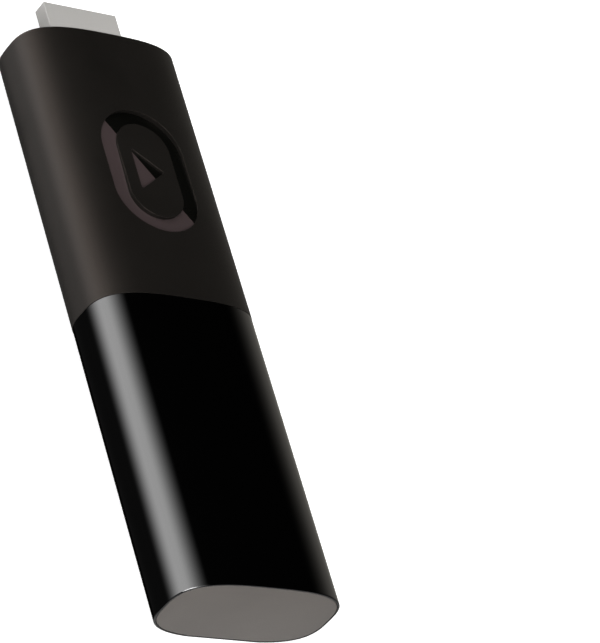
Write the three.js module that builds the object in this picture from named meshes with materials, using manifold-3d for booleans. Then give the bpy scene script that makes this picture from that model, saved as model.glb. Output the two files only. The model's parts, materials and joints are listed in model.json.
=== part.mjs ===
// A streaming media player stick: two sleeve shells that snap together round a carrier, an end cap, a
// digital video plug at one end, a power socket in one side, and the circuit board with its shields,
// chips and heat spreaders.
//
// Millimetres, +Z up. The stick lies on its back: X runs across it, Y along it towards the plug and Z out
// of its front. The pieces are drawn about the middle of the housing, and the exported group then puts
// the origin at the bottom centre of the whole part's box.
import * as THREE from "three";
import { mergeVertices } from "three/addons/utils/BufferGeometryUtils.js";
import Module from "manifold-3d";

const wasm = await Module();
wasm.setup();

// ---------------------------------------------------------------- housing
const BODY_WIDTH = 30;
const BODY_THICKNESS = 15;
const BODY_LENGTH = 104;
const UPPER_LENGTH = 52.1; // the matt shell, from the plug end to the seam
const SECTION_POWER = 3.1; // exponent of the superellipse that the housing's section follows
const SECTION_SIDES = 64;
const REST_FLAT_WIDTH = 14; // flat land along the middle of the back, on which the stick lies
const WALL = 1.6;
const END_WALL = 1.8;
const PLUG_END_ROUND = 0.5; // edge radius round the plug end
const CAP_END_ROUND = 0.15; // edge radius round the cap end
const GLOSS_INSET = 0.1; // the gloss shell is this much smaller all round than the matt one
const SEAM_ROUND = 0.25; // edge radius of the gloss shell at the seam
const ROUND_STEPS = 3;

// Tongue of the gloss shell that slides into the matt shell at the seam, and its snaps
const LIP_INSET = 0.85;
const LIP_LENGTH = 3;
const SLIDE_CLEARANCE = 0.1;
const SNAP_WIDTH = 4;
const SNAP_LENGTH = 0.8;
const SNAP_HEIGHT = 0.35;
const SNAP_X = 5; // snaps stand this far each side of the middle

// End cap
const CAP_RIM = 0.25; // width of the gloss rim that shows round the cap
const CAP_THICKNESS = 1.4;
const CAP_EDGE_ROUND = 0.08;
const CAP_LEG_LENGTH = 4.5;
const CAP_LEG_THICKNESS = 0.9;

// ---------------------------------------------------------------- emblem recess in the front
const EMBLEM_WIDTH = 15.2;
const EMBLEM_HEIGHT = 23.6;
const EMBLEM_FROM_PLUG_END = 27.7;
const EMBLEM_STROKE = 2.7;
const EMBLEM_ARROW_WIDTH = 5.2;
const EMBLEM_ARROW_HEIGHT = 8;
const EMBLEM_DEPTH = 0.35; // at the ridge between the floor's two slopes
const EMBLEM_SLOPE = THREE.MathUtils.degToRad(3.2);

// ---------------------------------------------------------------- digital video plug, a standard size
const PLUG_WIDTH = 13.9;
const PLUG_HEIGHT = 4.45;
const PLUG_CHAMFER = 1.75; // the two corners at the back
const PLUG_REACH = 9.2; // how far the plug stands out of the housing
const PLUG_INSIDE = 8.5; // how far it goes in behind the housing's end
const PLUG_SHEET = 0.4;
const PLUG_APERTURE_CLEARANCE = 0.25;
const PLUG_FOOT_WIDTH = 1.6;
const PLUG_FOOT_LENGTH = 2.6;
const PLUG_FOOT_THICKNESS = 0.4;
const INSULATOR_CLEARANCE = 0.08;
const INSULATOR_SETBACK = 0.6; // behind the rim of the metal shell
const TONGUE_SLOT_WIDTH = 11.9;
const TONGUE_SLOT_HEIGHT = 1.6;
const TONGUE_SLOT_DEPTH = 7.5;
const PIN_PITCH = 1;
const PIN_WIDTH = 0.4;
const PIN_THICKNESS = 0.25;
const PIN_TAIL = 1.8; // length of the pins' solder tails on the board
const UPPER_PINS = 10;
const LOWER_PINS = 9;

// ---------------------------------------------------------------- power socket, the micro-B standard size
const USB_FROM_PLUG_END = 36;
const USB_WIDTH = 7.5;
const USB_HEIGHT = 2.5;
const USB_DEPTH = 5.5;
const USB_CHAMFER = 0.8;
const USB_SHEET = 0.25;
const USB_RECESS = 1; // behind the housing's widest line
const USB_APERTURE_CLEARANCE = 0.3;
const USB_BASE_DEPTH = 1.6;
const USB_TONGUE_WIDTH = 3.7;
const USB_TONGUE_THICKNESS = 0.6;
const USB_TONGUE_SETBACK = 0.6;
const USB_PIN_PITCH = 0.65;
const USB_PIN_WIDTH = 0.3;
const USB_PIN_THICKNESS = 0.12;
const USB_PINS = 5;

// ---------------------------------------------------------------- status light beside the power socket
const LED_FROM_USB = 8;
const LED_LENGTH = 1.6;
const LED_WIDTH = 1;
const LED_HEIGHT = 1;
const PIPE_RADIUS = 0.7;
const PIPE_COLLAR_RADIUS = 1.2;
const PIPE_COLLAR_LENGTH = 0.6;
const PIPE_CLEARANCE = 0.1;
const PIPE_RECESS = 0.1;

// ---------------------------------------------------------------- board, carrier and cooling
const BOARD_THICKNESS = 1;
const BOARD_CLEARANCE = 0.1;
const RAIL_GAP = 1.1; // between the carrier's rails and the widest line of the cavity
const RAIL_WIDTH = 1.6;
const RAIL_SLOT = 0.6;
const CARRIER_CLEARANCE = 0.3;
const CROSSBAR_LENGTH = 2;
const YOKE_LENGTH = 4;
const YOKE_THICKNESS = 0.9;
const YOKE_CLEARANCE = 0.2;
const BOSS_LENGTH = 3.4;
const BOSS_WIDTH = 3.6;
const SCREW_FROM_BOARD_END = 4.7;
const SCREW_RADIUS = 0.7;
const SCREW_HEAD_RADIUS = 1.3;
const SCREW_HEAD_HEIGHT = 0.7;
const SCREW_LENGTH = 2.6; // under the board's front face
const SCREW_CLEARANCE = 0.12;
const SHIELD_HEIGHT = 1.8;
const SHIELD_SHEET = 0.25;
const SHIELD_MARGIN = 1.2; // from the board's edges
const SHIELD_FENCE_DROP = 0.5; // the fence is this much lower than its lid
const SHIELD_CLEARANCE = 0.1;
const FRONT_SHIELD_START = 7; // from the board's plug end
const FRONT_SHIELD_LENGTH = 26;
const BACK_SHIELD_START = 7;
const BACK_SHIELD_LENGTH = 15.5;
const PAD_THICKNESS = 1;
const PAD_MARGIN = 2;
const SPREADER_THICKNESS = 1;
const SPREADER_LENGTH = 52;
const SPREADER_START = 3; // from the board's plug end
const SPREADER_FIN_HEIGHT = 0.5;
const SPREADER_FIN_WIDTH = 0.8;
const SPREADER_FIN_PITCH = 2.4;
const SPREADER_FINS = 5;

// Radio module and antennas at the cap end of the board
const RADIO_SIZE = 12;
const RADIO_BOARD_THICKNESS = 0.6;
const RADIO_SHIELD_SIZE = 10.6;
const RADIO_SHIELD_HEIGHT = 1.2;
const RADIO_FROM_BOARD_END = 9;
const ANTENNA_STRIP = 0.9;
const ANTENNA_THICKNESS = 0.2;
const ANTENNA_ARM = 7;
const ANTENNA_TURNS = 3;
const ANTENNA_PITCH = 1.7;
const ANTENNA_OFFSET = 4.6; // each antenna's middle from the stick's middle

// ---------------------------------------------------------------- places worked out from the sizes above
const TOP_Y = BODY_LENGTH / 2;
const BOTTOM_Y = -TOP_Y;
const SEAM_Y = TOP_Y - UPPER_LENGTH;
const TIP_Y = TOP_Y + PLUG_REACH;
const REST_DEPTH = sectionHalfHeight(REST_FLAT_WIDTH / 2, 0); // from the section's middle to the flat land
const PLUG_REAR_Y = TOP_Y - PLUG_INSIDE;
const BOARD_TOP_Y = PLUG_REAR_Y - BOARD_CLEARANCE;
const BOARD_FRONT_Z = BOARD_THICKNESS / 2;
const CARRIER_LOW_Y = BOTTOM_Y + CAP_THICKNESS;
const CARRIER_TOP_Y = TOP_Y - END_WALL;
const BOARD_LOW_Y = CARRIER_LOW_Y + CROSSBAR_LENGTH - RAIL_SLOT + BOARD_CLEARANCE;
const RAIL_OUTER_X = BODY_WIDTH / 2 - WALL - RAIL_GAP;
const RAIL_INNER_X = RAIL_OUTER_X - RAIL_WIDTH;
const BOARD_HALF_WIDTH = RAIL_INNER_X + RAIL_SLOT - BOARD_CLEARANCE;
const SPREADER_Z = BOARD_FRONT_Z + SHIELD_HEIGHT + PAD_THICKNESS; // the carrier's rails are this high too
const SHIELD_HALF_WIDTH = BOARD_HALF_WIDTH - SHIELD_MARGIN;
const SCREW_X = RAIL_INNER_X - SCREW_HEAD_RADIUS - SLIDE_CLEARANCE;
const SCREW_Y = BOARD_TOP_Y - SCREW_FROM_BOARD_END;
const USB_Y = TOP_Y - USB_FROM_PLUG_END;
const USB_FACE_X = BODY_WIDTH / 2 - USB_RECESS;
const USB_Z = -BOARD_FRONT_Z - USB_HEIGHT / 2;
const LED_Y = USB_Y - LED_FROM_USB;
const LED_Z = -BOARD_FRONT_Z - LED_HEIGHT / 2;
const FAR = 2 * (BODY_LENGTH + BODY_WIDTH); // longer than anything it cuts

// ---------------------------------------------------------------- the housing's section
/** Half the section's height at x, on the outline that lies inset inside the housing's surface. */
function sectionHalfHeight(x, inset) {
  const share = Math.min(1, Math.abs(x) / (BODY_WIDTH / 2 - inset));
  return (BODY_THICKNESS / 2 - inset) * (1 - share ** SECTION_POWER) ** (1 / SECTION_POWER);
}

/** Half the section's width at z, on the same outline. */
function sectionHalfWidth(z, inset) {
  const share = Math.min(1, Math.abs(z) / (BODY_THICKNESS / 2 - inset));
  return (BODY_WIDTH / 2 - inset) * (1 - share ** SECTION_POWER) ** (1 / SECTION_POWER);
}

/** The section as a shape in X and Z: a superellipse with its lowest part cut off flat. */
function sectionShape(inset, flatInset) {
  const points = [];
  for (let i = 0; i < SECTION_SIDES; i++) {
    const angle = (2 * Math.PI * i) / SECTION_SIDES;
    const across = Math.cos(angle);
    const up = Math.sin(angle);
    const x = (BODY_WIDTH / 2 - inset) * Math.sign(across) * Math.abs(across) ** (2 / SECTION_POWER);
    const z = (BODY_THICKNESS / 2 - inset) * Math.sign(up) * Math.abs(up) ** (2 / SECTION_POWER);
    points.push(new THREE.Vector2(x, Math.max(z, flatInset - REST_DEPTH)));
  }
  return new THREE.Shape(points);
}

/** The plug's outline, inset by a sheet or clearance: a rectangle with its two back corners cut off. */
function plugShape(inset) {
  const halfWidth = PLUG_WIDTH / 2 - inset;
  const halfHeight = PLUG_HEIGHT / 2 - inset;
  const corner = PLUG_CHAMFER - inset * (2 - Math.SQRT2);
  return new THREE.Shape([
    new THREE.Vector2(halfWidth, halfHeight),
    new THREE.Vector2(-halfWidth, halfHeight),
    new THREE.Vector2(-halfWidth, corner - halfHeight),
    new THREE.Vector2(corner - halfWidth, -halfHeight),
    new THREE.Vector2(halfWidth - corner, -halfHeight),
    new THREE.Vector2(halfWidth, corner - halfHeight),
  ]);
}

/** The power socket's outline in Y and Z, with its two corners away from the board cut off. */
function usbShape(inset) {
  const halfWidth = USB_WIDTH / 2 - inset;
  const halfHeight = USB_HEIGHT / 2 - inset;
  const corner = USB_CHAMFER - inset * (2 - Math.SQRT2);
  return new THREE.Shape([
    new THREE.Vector2(halfWidth, halfHeight),
    new THREE.Vector2(-halfWidth, halfHeight),
    new THREE.Vector2(-halfWidth, corner - halfHeight),
    new THREE.Vector2(corner - halfWidth, -halfHeight),
    new THREE.Vector2(halfWidth - corner, -halfHeight),
    new THREE.Vector2(halfWidth, corner - halfHeight),
  ]);
}

// ---------------------------------------------------------------- solids from three.js geometry
/** A closed three.js geometry as a manifold solid. */
function solid(geometry) {
  const bare = geometry.index ? geometry.toNonIndexed() : geometry;
  const positions = new THREE.BufferGeometry().setAttribute("position", bare.getAttribute("position"));
  const merged = mergeVertices(positions, 1e-4);
  return new wasm.Manifold(
    new wasm.Mesh({
      numProp: 3,
      vertProperties: merged.attributes.position.array,
      triVerts: new Uint32Array(merged.index.array),
    }),
  );
}

/** A box between two corners. */
function box([x0, y0, z0], [x1, y1, z1]) {
  const geometry = new THREE.BoxGeometry(x1 - x0, y1 - y0, z1 - z0);
  return solid(geometry.translate((x0 + x1) / 2, (y0 + y1) / 2, (z0 + z1) / 2));
}

/** A box given by its centre in X and Y, its size, and the height that it stands on, up or down. */
function chip(x, y, width, length, height, fromZ, up = 1) {
  const z0 = up > 0 ? fromZ : fromZ - height;
  return box([x - width / 2, y - length / 2, z0], [x + width / 2, y + length / 2, z0 + height]);
}

/** A shape in X and Z drawn out along Y, with its edges rounded at both ends where round is given. */
function alongY(shape, y0, y1, round = 0) {
  const geometry = new THREE.ExtrudeGeometry(shape, {
    depth: y1 - y0 - 2 * round,
    bevelEnabled: round > 0,
    bevelThickness: round,
    bevelSize: round,
    bevelOffset: -round,
    bevelSegments: ROUND_STEPS,
    curveSegments: 1,
  });
  return solid(geometry.rotateX(Math.PI / 2).translate(0, y1 - round, 0));
}

/** A shape in Y and Z drawn out along X. */
function alongX(shape, x0, x1) {
  const geometry = new THREE.ExtrudeGeometry(shape, { depth: x1 - x0, bevelEnabled: false });
  return solid(geometry.rotateX(Math.PI / 2).rotateZ(Math.PI / 2).translate(x0, 0, 0));
}

/** A shape in X and Y drawn out along Z. */
function alongZ(shape, z0, z1, sides = 12) {
  const options = { depth: z1 - z0, bevelEnabled: false, curveSegments: sides };
  return solid(new THREE.ExtrudeGeometry(shape, options).translate(0, 0, z0));
}

/** A round bar along X. */
function rodX(radius, x0, x1, y, z, sides = 20) {
  const geometry = new THREE.CylinderGeometry(radius, radius, x1 - x0, sides).rotateZ(Math.PI / 2);
  return solid(geometry.translate((x0 + x1) / 2, y, z));
}

/** A round bar along Z. */
function rodZ(radius, x, y, z0, z1, sides = 20) {
  const geometry = new THREE.CylinderGeometry(radius, radius, z1 - z0, sides).rotateX(Math.PI / 2);
  return solid(geometry.translate(x, y, (z0 + z1) / 2));
}

/** The same body with the same tools taken out of it. */
function cut(body, ...tools) {
  return tools.reduce((left, tool) => left.subtract(tool), body);
}

/** Several bodies joined into one. */
function join(...bodies) {
  return bodies.reduce((all, body) => all.add(body));
}

/**
 * A stretch of the housing's section, with its edges rounded at the low end, the high end or both. The
 * flat land along its back is inset like the rest unless flatInset says otherwise.
 */
function housingBlock(inset, y0, y1, { low = 0, high = 0, flatInset = inset } = {}) {
  const shape = sectionShape(inset, flatInset);
  if (low && high) {
    const middle = (y0 + y1) / 2;
    const lowHalf = housingBlock(inset, y0, middle, { low, flatInset });
    return join(lowHalf, housingBlock(inset, middle, y1, { high, flatInset }));
  }
  if (low) {
    const longer = alongY(shape, y0, y1 + 2 * low, low);
    return cut(longer, box([-FAR, y1, -FAR], [FAR, y1 + FAR, FAR]));
  }
  if (high) {
    const longer = alongY(shape, y0 - 2 * high, y1, high);
    return cut(longer, box([-FAR, y0 - FAR, -FAR], [FAR, y0, FAR]));
  }
  return alongY(shape, y0, y1);
}

/** A manifold solid as a mesh with its name and material. */
function piece(name, body, material) {
  const { numProp, vertProperties, triVerts, numVert } = body.getMesh();
  const positions = new Float32Array(numVert * 3);
  for (let i = 0; i < numVert; i++) {
    positions.set(vertProperties.subarray(i * numProp, i * numProp + 3), i * 3);
  }
  const geometry = new THREE.BufferGeometry()
    .setAttribute("position", new THREE.BufferAttribute(positions, 3))
    .setIndex(new THREE.BufferAttribute(triVerts, 1));
  geometry.computeVertexNormals();
  const mesh = new THREE.Mesh(geometry, material);
  mesh.name = name;
  return mesh;
}

// ---------------------------------------------------------------- materials
function finish(color, roughness, metalness = 0) {
  return new THREE.MeshStandardMaterial({ color, roughness, metalness });
}

const MATT_BLACK = finish(0x1d1b19, 0.55);
const GLOSS_BLACK = finish(0x050505, 0.08);
const CAP_GREY = finish(0x6e6a67, 0.45);
const CARRIER_BLACK = finish(0x262626, 0.6);
const BOARD_GREEN = finish(0x12382a, 0.45);
const NICKEL = finish(0xb4b2ae, 0.3, 1);
const TINNED_STEEL = finish(0xc2c3c2, 0.35, 1);
const GOLD = finish(0xd6aa52, 0.25, 1);
const INSULATOR_BLACK = finish(0x151515, 0.5);
const CHIP_BLACK = finish(0x1f2022, 0.5);
const ALUMINIUM = finish(0xb9bcbf, 0.4, 1);
const PAD_GREY = finish(0x8f99a3, 0.85);
const FERRITE = finish(0x3a3b3d, 0.7);
const CERAMIC_TAN = finish(0xa9906c, 0.5);
const CLEAR = finish(0xf2f4f4, 0.1);
const LED_WHITE = finish(0xf0ead2, 0.4);
const SCREW_STEEL = finish(0x8d8f90, 0.35, 1);

// ---------------------------------------------------------------- housing
/** The four snap blocks that stand on a face of the section at y, and the pockets that take them. */
function snaps(inset, y, clearance) {
  const blocks = [];
  for (const side of [-1, 1]) {
    for (const x of [-SNAP_X, SNAP_X]) {
      const half = SNAP_WIDTH / 2 + clearance;
      const rootZ = sectionHalfHeight(SNAP_X + SNAP_WIDTH / 2, inset) - SNAP_HEIGHT;
      const tipZ = Math.min(sectionHalfHeight(SNAP_X, inset), REST_DEPTH - inset) + SNAP_HEIGHT + clearance;
      const [z0, z1] = side > 0 ? [rootZ, tipZ] : [-tipZ, -rootZ];
      blocks.push(box([x - half, y - clearance, z0], [x + half, y + SNAP_LENGTH + clearance, z1]));
    }
  }
  return join(...blocks);
}

/** What cuts the emblem: a long ring with an arrow head inside it, over a floor with two slopes. */
function emblemCutter() {
  const y = TOP_Y - EMBLEM_FROM_PLUG_END;
  const surfaceZ = BODY_THICKNESS / 2;
  const pill = (Kind, inset) => {
    const radius = EMBLEM_WIDTH / 2 - inset;
    const straight = EMBLEM_HEIGHT / 2 - EMBLEM_WIDTH / 2;
    const path = new Kind();
    path.absarc(0, y + straight, radius, 0, Math.PI);
    path.absarc(0, y - straight, radius, Math.PI, 2 * Math.PI);
    path.closePath();
    return path;
  };
  const ring = pill(THREE.Shape, 0);
  ring.holes.push(pill(THREE.Path, EMBLEM_STROKE));
  const arrow = new THREE.Shape([
    new THREE.Vector2(-EMBLEM_ARROW_WIDTH / 2, y - EMBLEM_ARROW_HEIGHT / 2),
    new THREE.Vector2(EMBLEM_ARROW_WIDTH / 2, y),
    new THREE.Vector2(-EMBLEM_ARROW_WIDTH / 2, y + EMBLEM_ARROW_HEIGHT / 2),
  ]);
  const lowZ = surfaceZ - WALL;
  const outline = join(alongZ(ring, lowZ, surfaceZ + WALL), alongZ(arrow, lowZ, surfaceZ + WALL));

  // The floor is a low roof whose ridge runs along the emblem's diagonal.
  const reach = EMBLEM_HEIGHT;
  const roof = new THREE.Shape([
    new THREE.Vector2(-reach, -reach * Math.tan(EMBLEM_SLOPE) - WALL),
    new THREE.Vector2(reach, -reach * Math.tan(EMBLEM_SLOPE) - WALL),
    new THREE.Vector2(reach, -reach * Math.tan(EMBLEM_SLOPE)),
    new THREE.Vector2(0, 0),
    new THREE.Vector2(-reach, -reach * Math.tan(EMBLEM_SLOPE)),
  ]);
  const bar = new THREE.ExtrudeGeometry(roof, { depth: 2 * reach, bevelEnabled: false });
  bar.rotateX(Math.PI / 2).translate(0, reach, 0);
  bar.rotateZ(Math.atan2(EMBLEM_WIDTH, EMBLEM_HEIGHT)).translate(0, y, surfaceZ - EMBLEM_DEPTH);
  return cut(outline, solid(bar));
}

function upperShell() {
  const usbAperture = alongX(usbShape(-USB_APERTURE_CLEARANCE), 0, BODY_WIDTH).translate([0, USB_Y, USB_Z]);
  const lightHole = rodX(PIPE_RADIUS + PIPE_CLEARANCE, 0, BODY_WIDTH, LED_Y, LED_Z);
  return cut(
    housingBlock(0, SEAM_Y, TOP_Y, { high: PLUG_END_ROUND }),
    housingBlock(WALL, SEAM_Y - WALL, TOP_Y - END_WALL),
    housingBlock(LIP_INSET, SEAM_Y - WALL, SEAM_Y + LIP_LENGTH + SLIDE_CLEARANCE),
    snaps(LIP_INSET, SEAM_Y + LIP_LENGTH / 2, SLIDE_CLEARANCE),
    alongY(plugShape(-PLUG_APERTURE_CLEARANCE), TOP_Y - 2 * END_WALL, TOP_Y + END_WALL),
    usbAperture,
    lightHole,
    emblemCutter(),
  );
}

/** The pockets in the gloss shell that hold the end cap's legs. */
function capPockets() {
  return snaps(WALL, BOTTOM_Y + CAP_THICKNESS + CAP_LEG_LENGTH - SNAP_LENGTH, SLIDE_CLEARANCE);
}

function lowerShell() {
  const lip = cut(
    housingBlock(LIP_INSET + SLIDE_CLEARANCE, SEAM_Y - WALL, SEAM_Y + LIP_LENGTH),
    housingBlock(WALL, SEAM_Y - 2 * WALL, SEAM_Y + LIP_LENGTH + WALL),
  );
  const tube = cut(
    housingBlock(GLOSS_INSET, BOTTOM_Y, SEAM_Y, { low: CAP_END_ROUND, high: SEAM_ROUND, flatInset: 0 }),
    housingBlock(WALL, BOTTOM_Y - WALL, SEAM_Y + WALL),
    housingBlock(GLOSS_INSET + CAP_RIM, BOTTOM_Y - WALL, BOTTOM_Y + CAP_THICKNESS),
    capPockets(),
  );
  const bumps = snaps(LIP_INSET + SLIDE_CLEARANCE, SEAM_Y + LIP_LENGTH / 2, 0);
  const cavity = housingBlock(WALL, SEAM_Y, SEAM_Y + LIP_LENGTH);
  return join(tube, lip, cut(bumps, cavity));
}

function endCap() {
  const plateInset = GLOSS_INSET + CAP_RIM + SLIDE_CLEARANCE;
  const plate = housingBlock(plateInset, BOTTOM_Y, BOTTOM_Y + CAP_THICKNESS, { low: CAP_EDGE_ROUND });
  const legLowY = CARRIER_LOW_Y - CAP_THICKNESS / 2;
  const legHighY = CARRIER_LOW_Y + CAP_LEG_LENGTH;
  const legs = [];
  for (const side of [-1, 1]) {
    for (const x of [-SNAP_X, SNAP_X]) {
      const half = SNAP_WIDTH / 2;
      const edge = sectionHalfHeight(SNAP_X + half, WALL + SLIDE_CLEARANCE);
      const outerZ = Math.min(edge, REST_DEPTH - WALL - SLIDE_CLEARANCE);
      const innerZ = outerZ - CAP_LEG_THICKNESS;
      const [z0, z1] = side > 0 ? [innerZ, outerZ] : [-outerZ, -innerZ];
      legs.push(box([x - half, legLowY, z0], [x + half, legHighY, z1]));
    }
  }
  const hooks = snaps(WALL + SLIDE_CLEARANCE, legHighY - SNAP_LENGTH, 0);
  const insideLegs = housingBlock(WALL + SLIDE_CLEARANCE + SNAP_HEIGHT, CARRIER_LOW_Y, legHighY + WALL);
  return join(plate, ...legs, cut(hooks, insideLegs));
}

// ---------------------------------------------------------------- plug
function plugShell() {
  const tube = cut(
    alongY(plugShape(0), PLUG_REAR_Y, TIP_Y),
    alongY(plugShape(PLUG_SHEET), PLUG_REAR_Y - WALL, TIP_Y + WALL),
  );
  const feet = [-1, 1].map((side) => {
    const outer = (side * PLUG_WIDTH) / 2;
    const inner = outer - side * PLUG_FOOT_WIDTH;
    const top = BOARD_FRONT_Z + PLUG_FOOT_THICKNESS;
    const from = [Math.min(outer, inner), PLUG_REAR_Y - PLUG_FOOT_LENGTH, BOARD_FRONT_Z];
    return box(from, [Math.max(outer, inner), PLUG_REAR_Y + PLUG_FOOT_THICKNESS, top]);
  });
  return join(tube, ...feet);
}

/** One row of pins as a comb: the pins, and the strip that ties their tails together. */
function pinRow(count, side) {
  const innerZ = TONGUE_SLOT_HEIGHT / 2 - PIN_THICKNESS;
  const z = side > 0 ? [innerZ, innerZ + PIN_THICKNESS] : [-innerZ - PIN_THICKNESS, -innerZ];
  const tailZ = side > 0 ? [BOARD_FRONT_Z, z[1]] : [z[0], -BOARD_FRONT_Z];
  const tailEndY = BOARD_TOP_Y - PIN_TAIL;
  const frontY = TIP_Y - INSULATOR_SETBACK - PIN_WIDTH;
  const pins = [];
  for (let i = 0; i < count; i++) {
    const x = (i - (count - 1) / 2) * PIN_PITCH;
    const half = PIN_WIDTH / 2;
    pins.push(box([x - half, PLUG_REAR_Y, z[0]], [x + half, frontY, z[1]]));
    pins.push(box([x - half, tailEndY, tailZ[0]], [x + half, PLUG_REAR_Y + PIN_WIDTH, tailZ[1]]));
  }
  const halfStrip = ((count - 1) * PIN_PITCH + PIN_WIDTH) / 2;
  const strip = box([-halfStrip, tailEndY, tailZ[0]], [halfStrip, tailEndY + PIN_WIDTH, tailZ[1]]);
  return join(strip, ...pins);
}

function plugInsulator() {
  const rearY = PLUG_REAR_Y + PLUG_FOOT_THICKNESS + INSULATOR_CLEARANCE;
  const slotTop = TIP_Y - INSULATOR_SETBACK;
  const block = alongY(plugShape(PLUG_SHEET + INSULATOR_CLEARANCE), rearY, slotTop);
  const tongueSlot = box(
    [-TONGUE_SLOT_WIDTH / 2, slotTop - TONGUE_SLOT_DEPTH, -TONGUE_SLOT_HEIGHT / 2],
    [TONGUE_SLOT_WIDTH / 2, slotTop + WALL, TONGUE_SLOT_HEIGHT / 2],
  );
  const channels = [];
  for (const [count, side] of [[UPPER_PINS, 1], [LOWER_PINS, -1]]) {
    for (let i = 0; i < count; i++) {
      const x = (i - (count - 1) / 2) * PIN_PITCH;
      const half = PIN_WIDTH / 2 + INSULATOR_CLEARANCE;
      const outerZ = TONGUE_SLOT_HEIGHT / 2 + INSULATOR_CLEARANCE;
      const innerZ = Math.min(BOARD_FRONT_Z, TONGUE_SLOT_HEIGHT / 2 - PIN_THICKNESS) - INSULATOR_CLEARANCE;
      const [z0, z1] = side > 0 ? [innerZ, outerZ] : [-outerZ, -innerZ];
      channels.push(box([x - half, PLUG_REAR_Y - WALL, z0], [x + half, slotTop - PIN_WIDTH / 2, z1]));
    }
  }
  return cut(block, tongueSlot, ...channels);
}

// ---------------------------------------------------------------- power socket and status light
function usbShell() {
  const tube = cut(
    alongX(usbShape(0), USB_FACE_X - USB_DEPTH, USB_FACE_X),
    alongX(usbShape(USB_SHEET), USB_FACE_X - USB_DEPTH - WALL, USB_FACE_X + WALL),
  );
  return tube.translate([0, USB_Y, USB_Z]);
}

/** The socket's plastic: a block that closes its rear, and the tongue that carries the pins. */
function usbTongue() {
  const inset = USB_SHEET + INSULATOR_CLEARANCE;
  const rearX = USB_FACE_X - USB_DEPTH;
  const base = alongX(usbShape(inset), rearX, rearX + USB_BASE_DEPTH);
  const tongue = box(
    [rearX + USB_BASE_DEPTH / 2, -USB_TONGUE_WIDTH / 2, 0],
    [USB_FACE_X - USB_TONGUE_SETBACK, USB_TONGUE_WIDTH / 2, USB_TONGUE_THICKNESS],
  );
  return cut(join(base, tongue), usbPinRow(INSULATOR_CLEARANCE / 2)).translate([0, USB_Y, USB_Z]);
}

/** The socket's pins as a comb under the tongue, grown by a clearance where they cut their own channels. */
function usbPinRow(clearance) {
  const rearX = USB_FACE_X - USB_DEPTH;
  const top = clearance;
  const low = -USB_PIN_THICKNESS - clearance;
  const pins = [];
  for (let i = 0; i < USB_PINS; i++) {
    const y = (i - (USB_PINS - 1) / 2) * USB_PIN_PITCH;
    const half = USB_PIN_WIDTH / 2 + clearance;
    const tipX = USB_FACE_X - USB_TONGUE_SETBACK - USB_PIN_WIDTH;
    pins.push(box([rearX - USB_PIN_WIDTH, y - half, low], [tipX, y + half, top]));
  }
  const halfRow = ((USB_PINS - 1) * USB_PIN_PITCH + USB_PIN_WIDTH) / 2 + clearance;
  const strip = box([rearX - 2 * USB_PIN_WIDTH, -halfRow, low], [rearX - USB_PIN_WIDTH / 2, halfRow, top]);
  const solderZ = USB_HEIGHT / 2;
  const tail = box([rearX - 2 * USB_PIN_WIDTH, -halfRow, low], [rearX - USB_PIN_WIDTH, halfRow, solderZ]);
  return join(strip, tail, ...pins);
}

function statusLed() {
  const outerX = BOARD_HALF_WIDTH;
  return box(
    [outerX - LED_WIDTH, LED_Y - LED_LENGTH / 2, -BOARD_FRONT_Z - LED_HEIGHT],
    [outerX, LED_Y + LED_LENGTH / 2, -BOARD_FRONT_Z],
  );
}

function lightPipe() {
  const innerX = BOARD_HALF_WIDTH + SLIDE_CLEARANCE;
  const outerX = sectionHalfWidth(LED_Z, 0) - PIPE_RECESS;
  const collarX = BODY_WIDTH / 2 - WALL - CARRIER_CLEARANCE;
  return join(
    rodX(PIPE_RADIUS, innerX, outerX, LED_Y, LED_Z),
    rodX(PIPE_COLLAR_RADIUS, collarX - PIPE_COLLAR_LENGTH, collarX, LED_Y, LED_Z),
  );
}

// ---------------------------------------------------------------- carrier and board
/** The two screws' holes, right through the board and the carrier's bosses. */
function screwHoles() {
  return [-SCREW_X, SCREW_X].map((x) => rodZ(SCREW_RADIUS + SCREW_CLEARANCE, x, SCREW_Y, -FAR, FAR));
}

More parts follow.
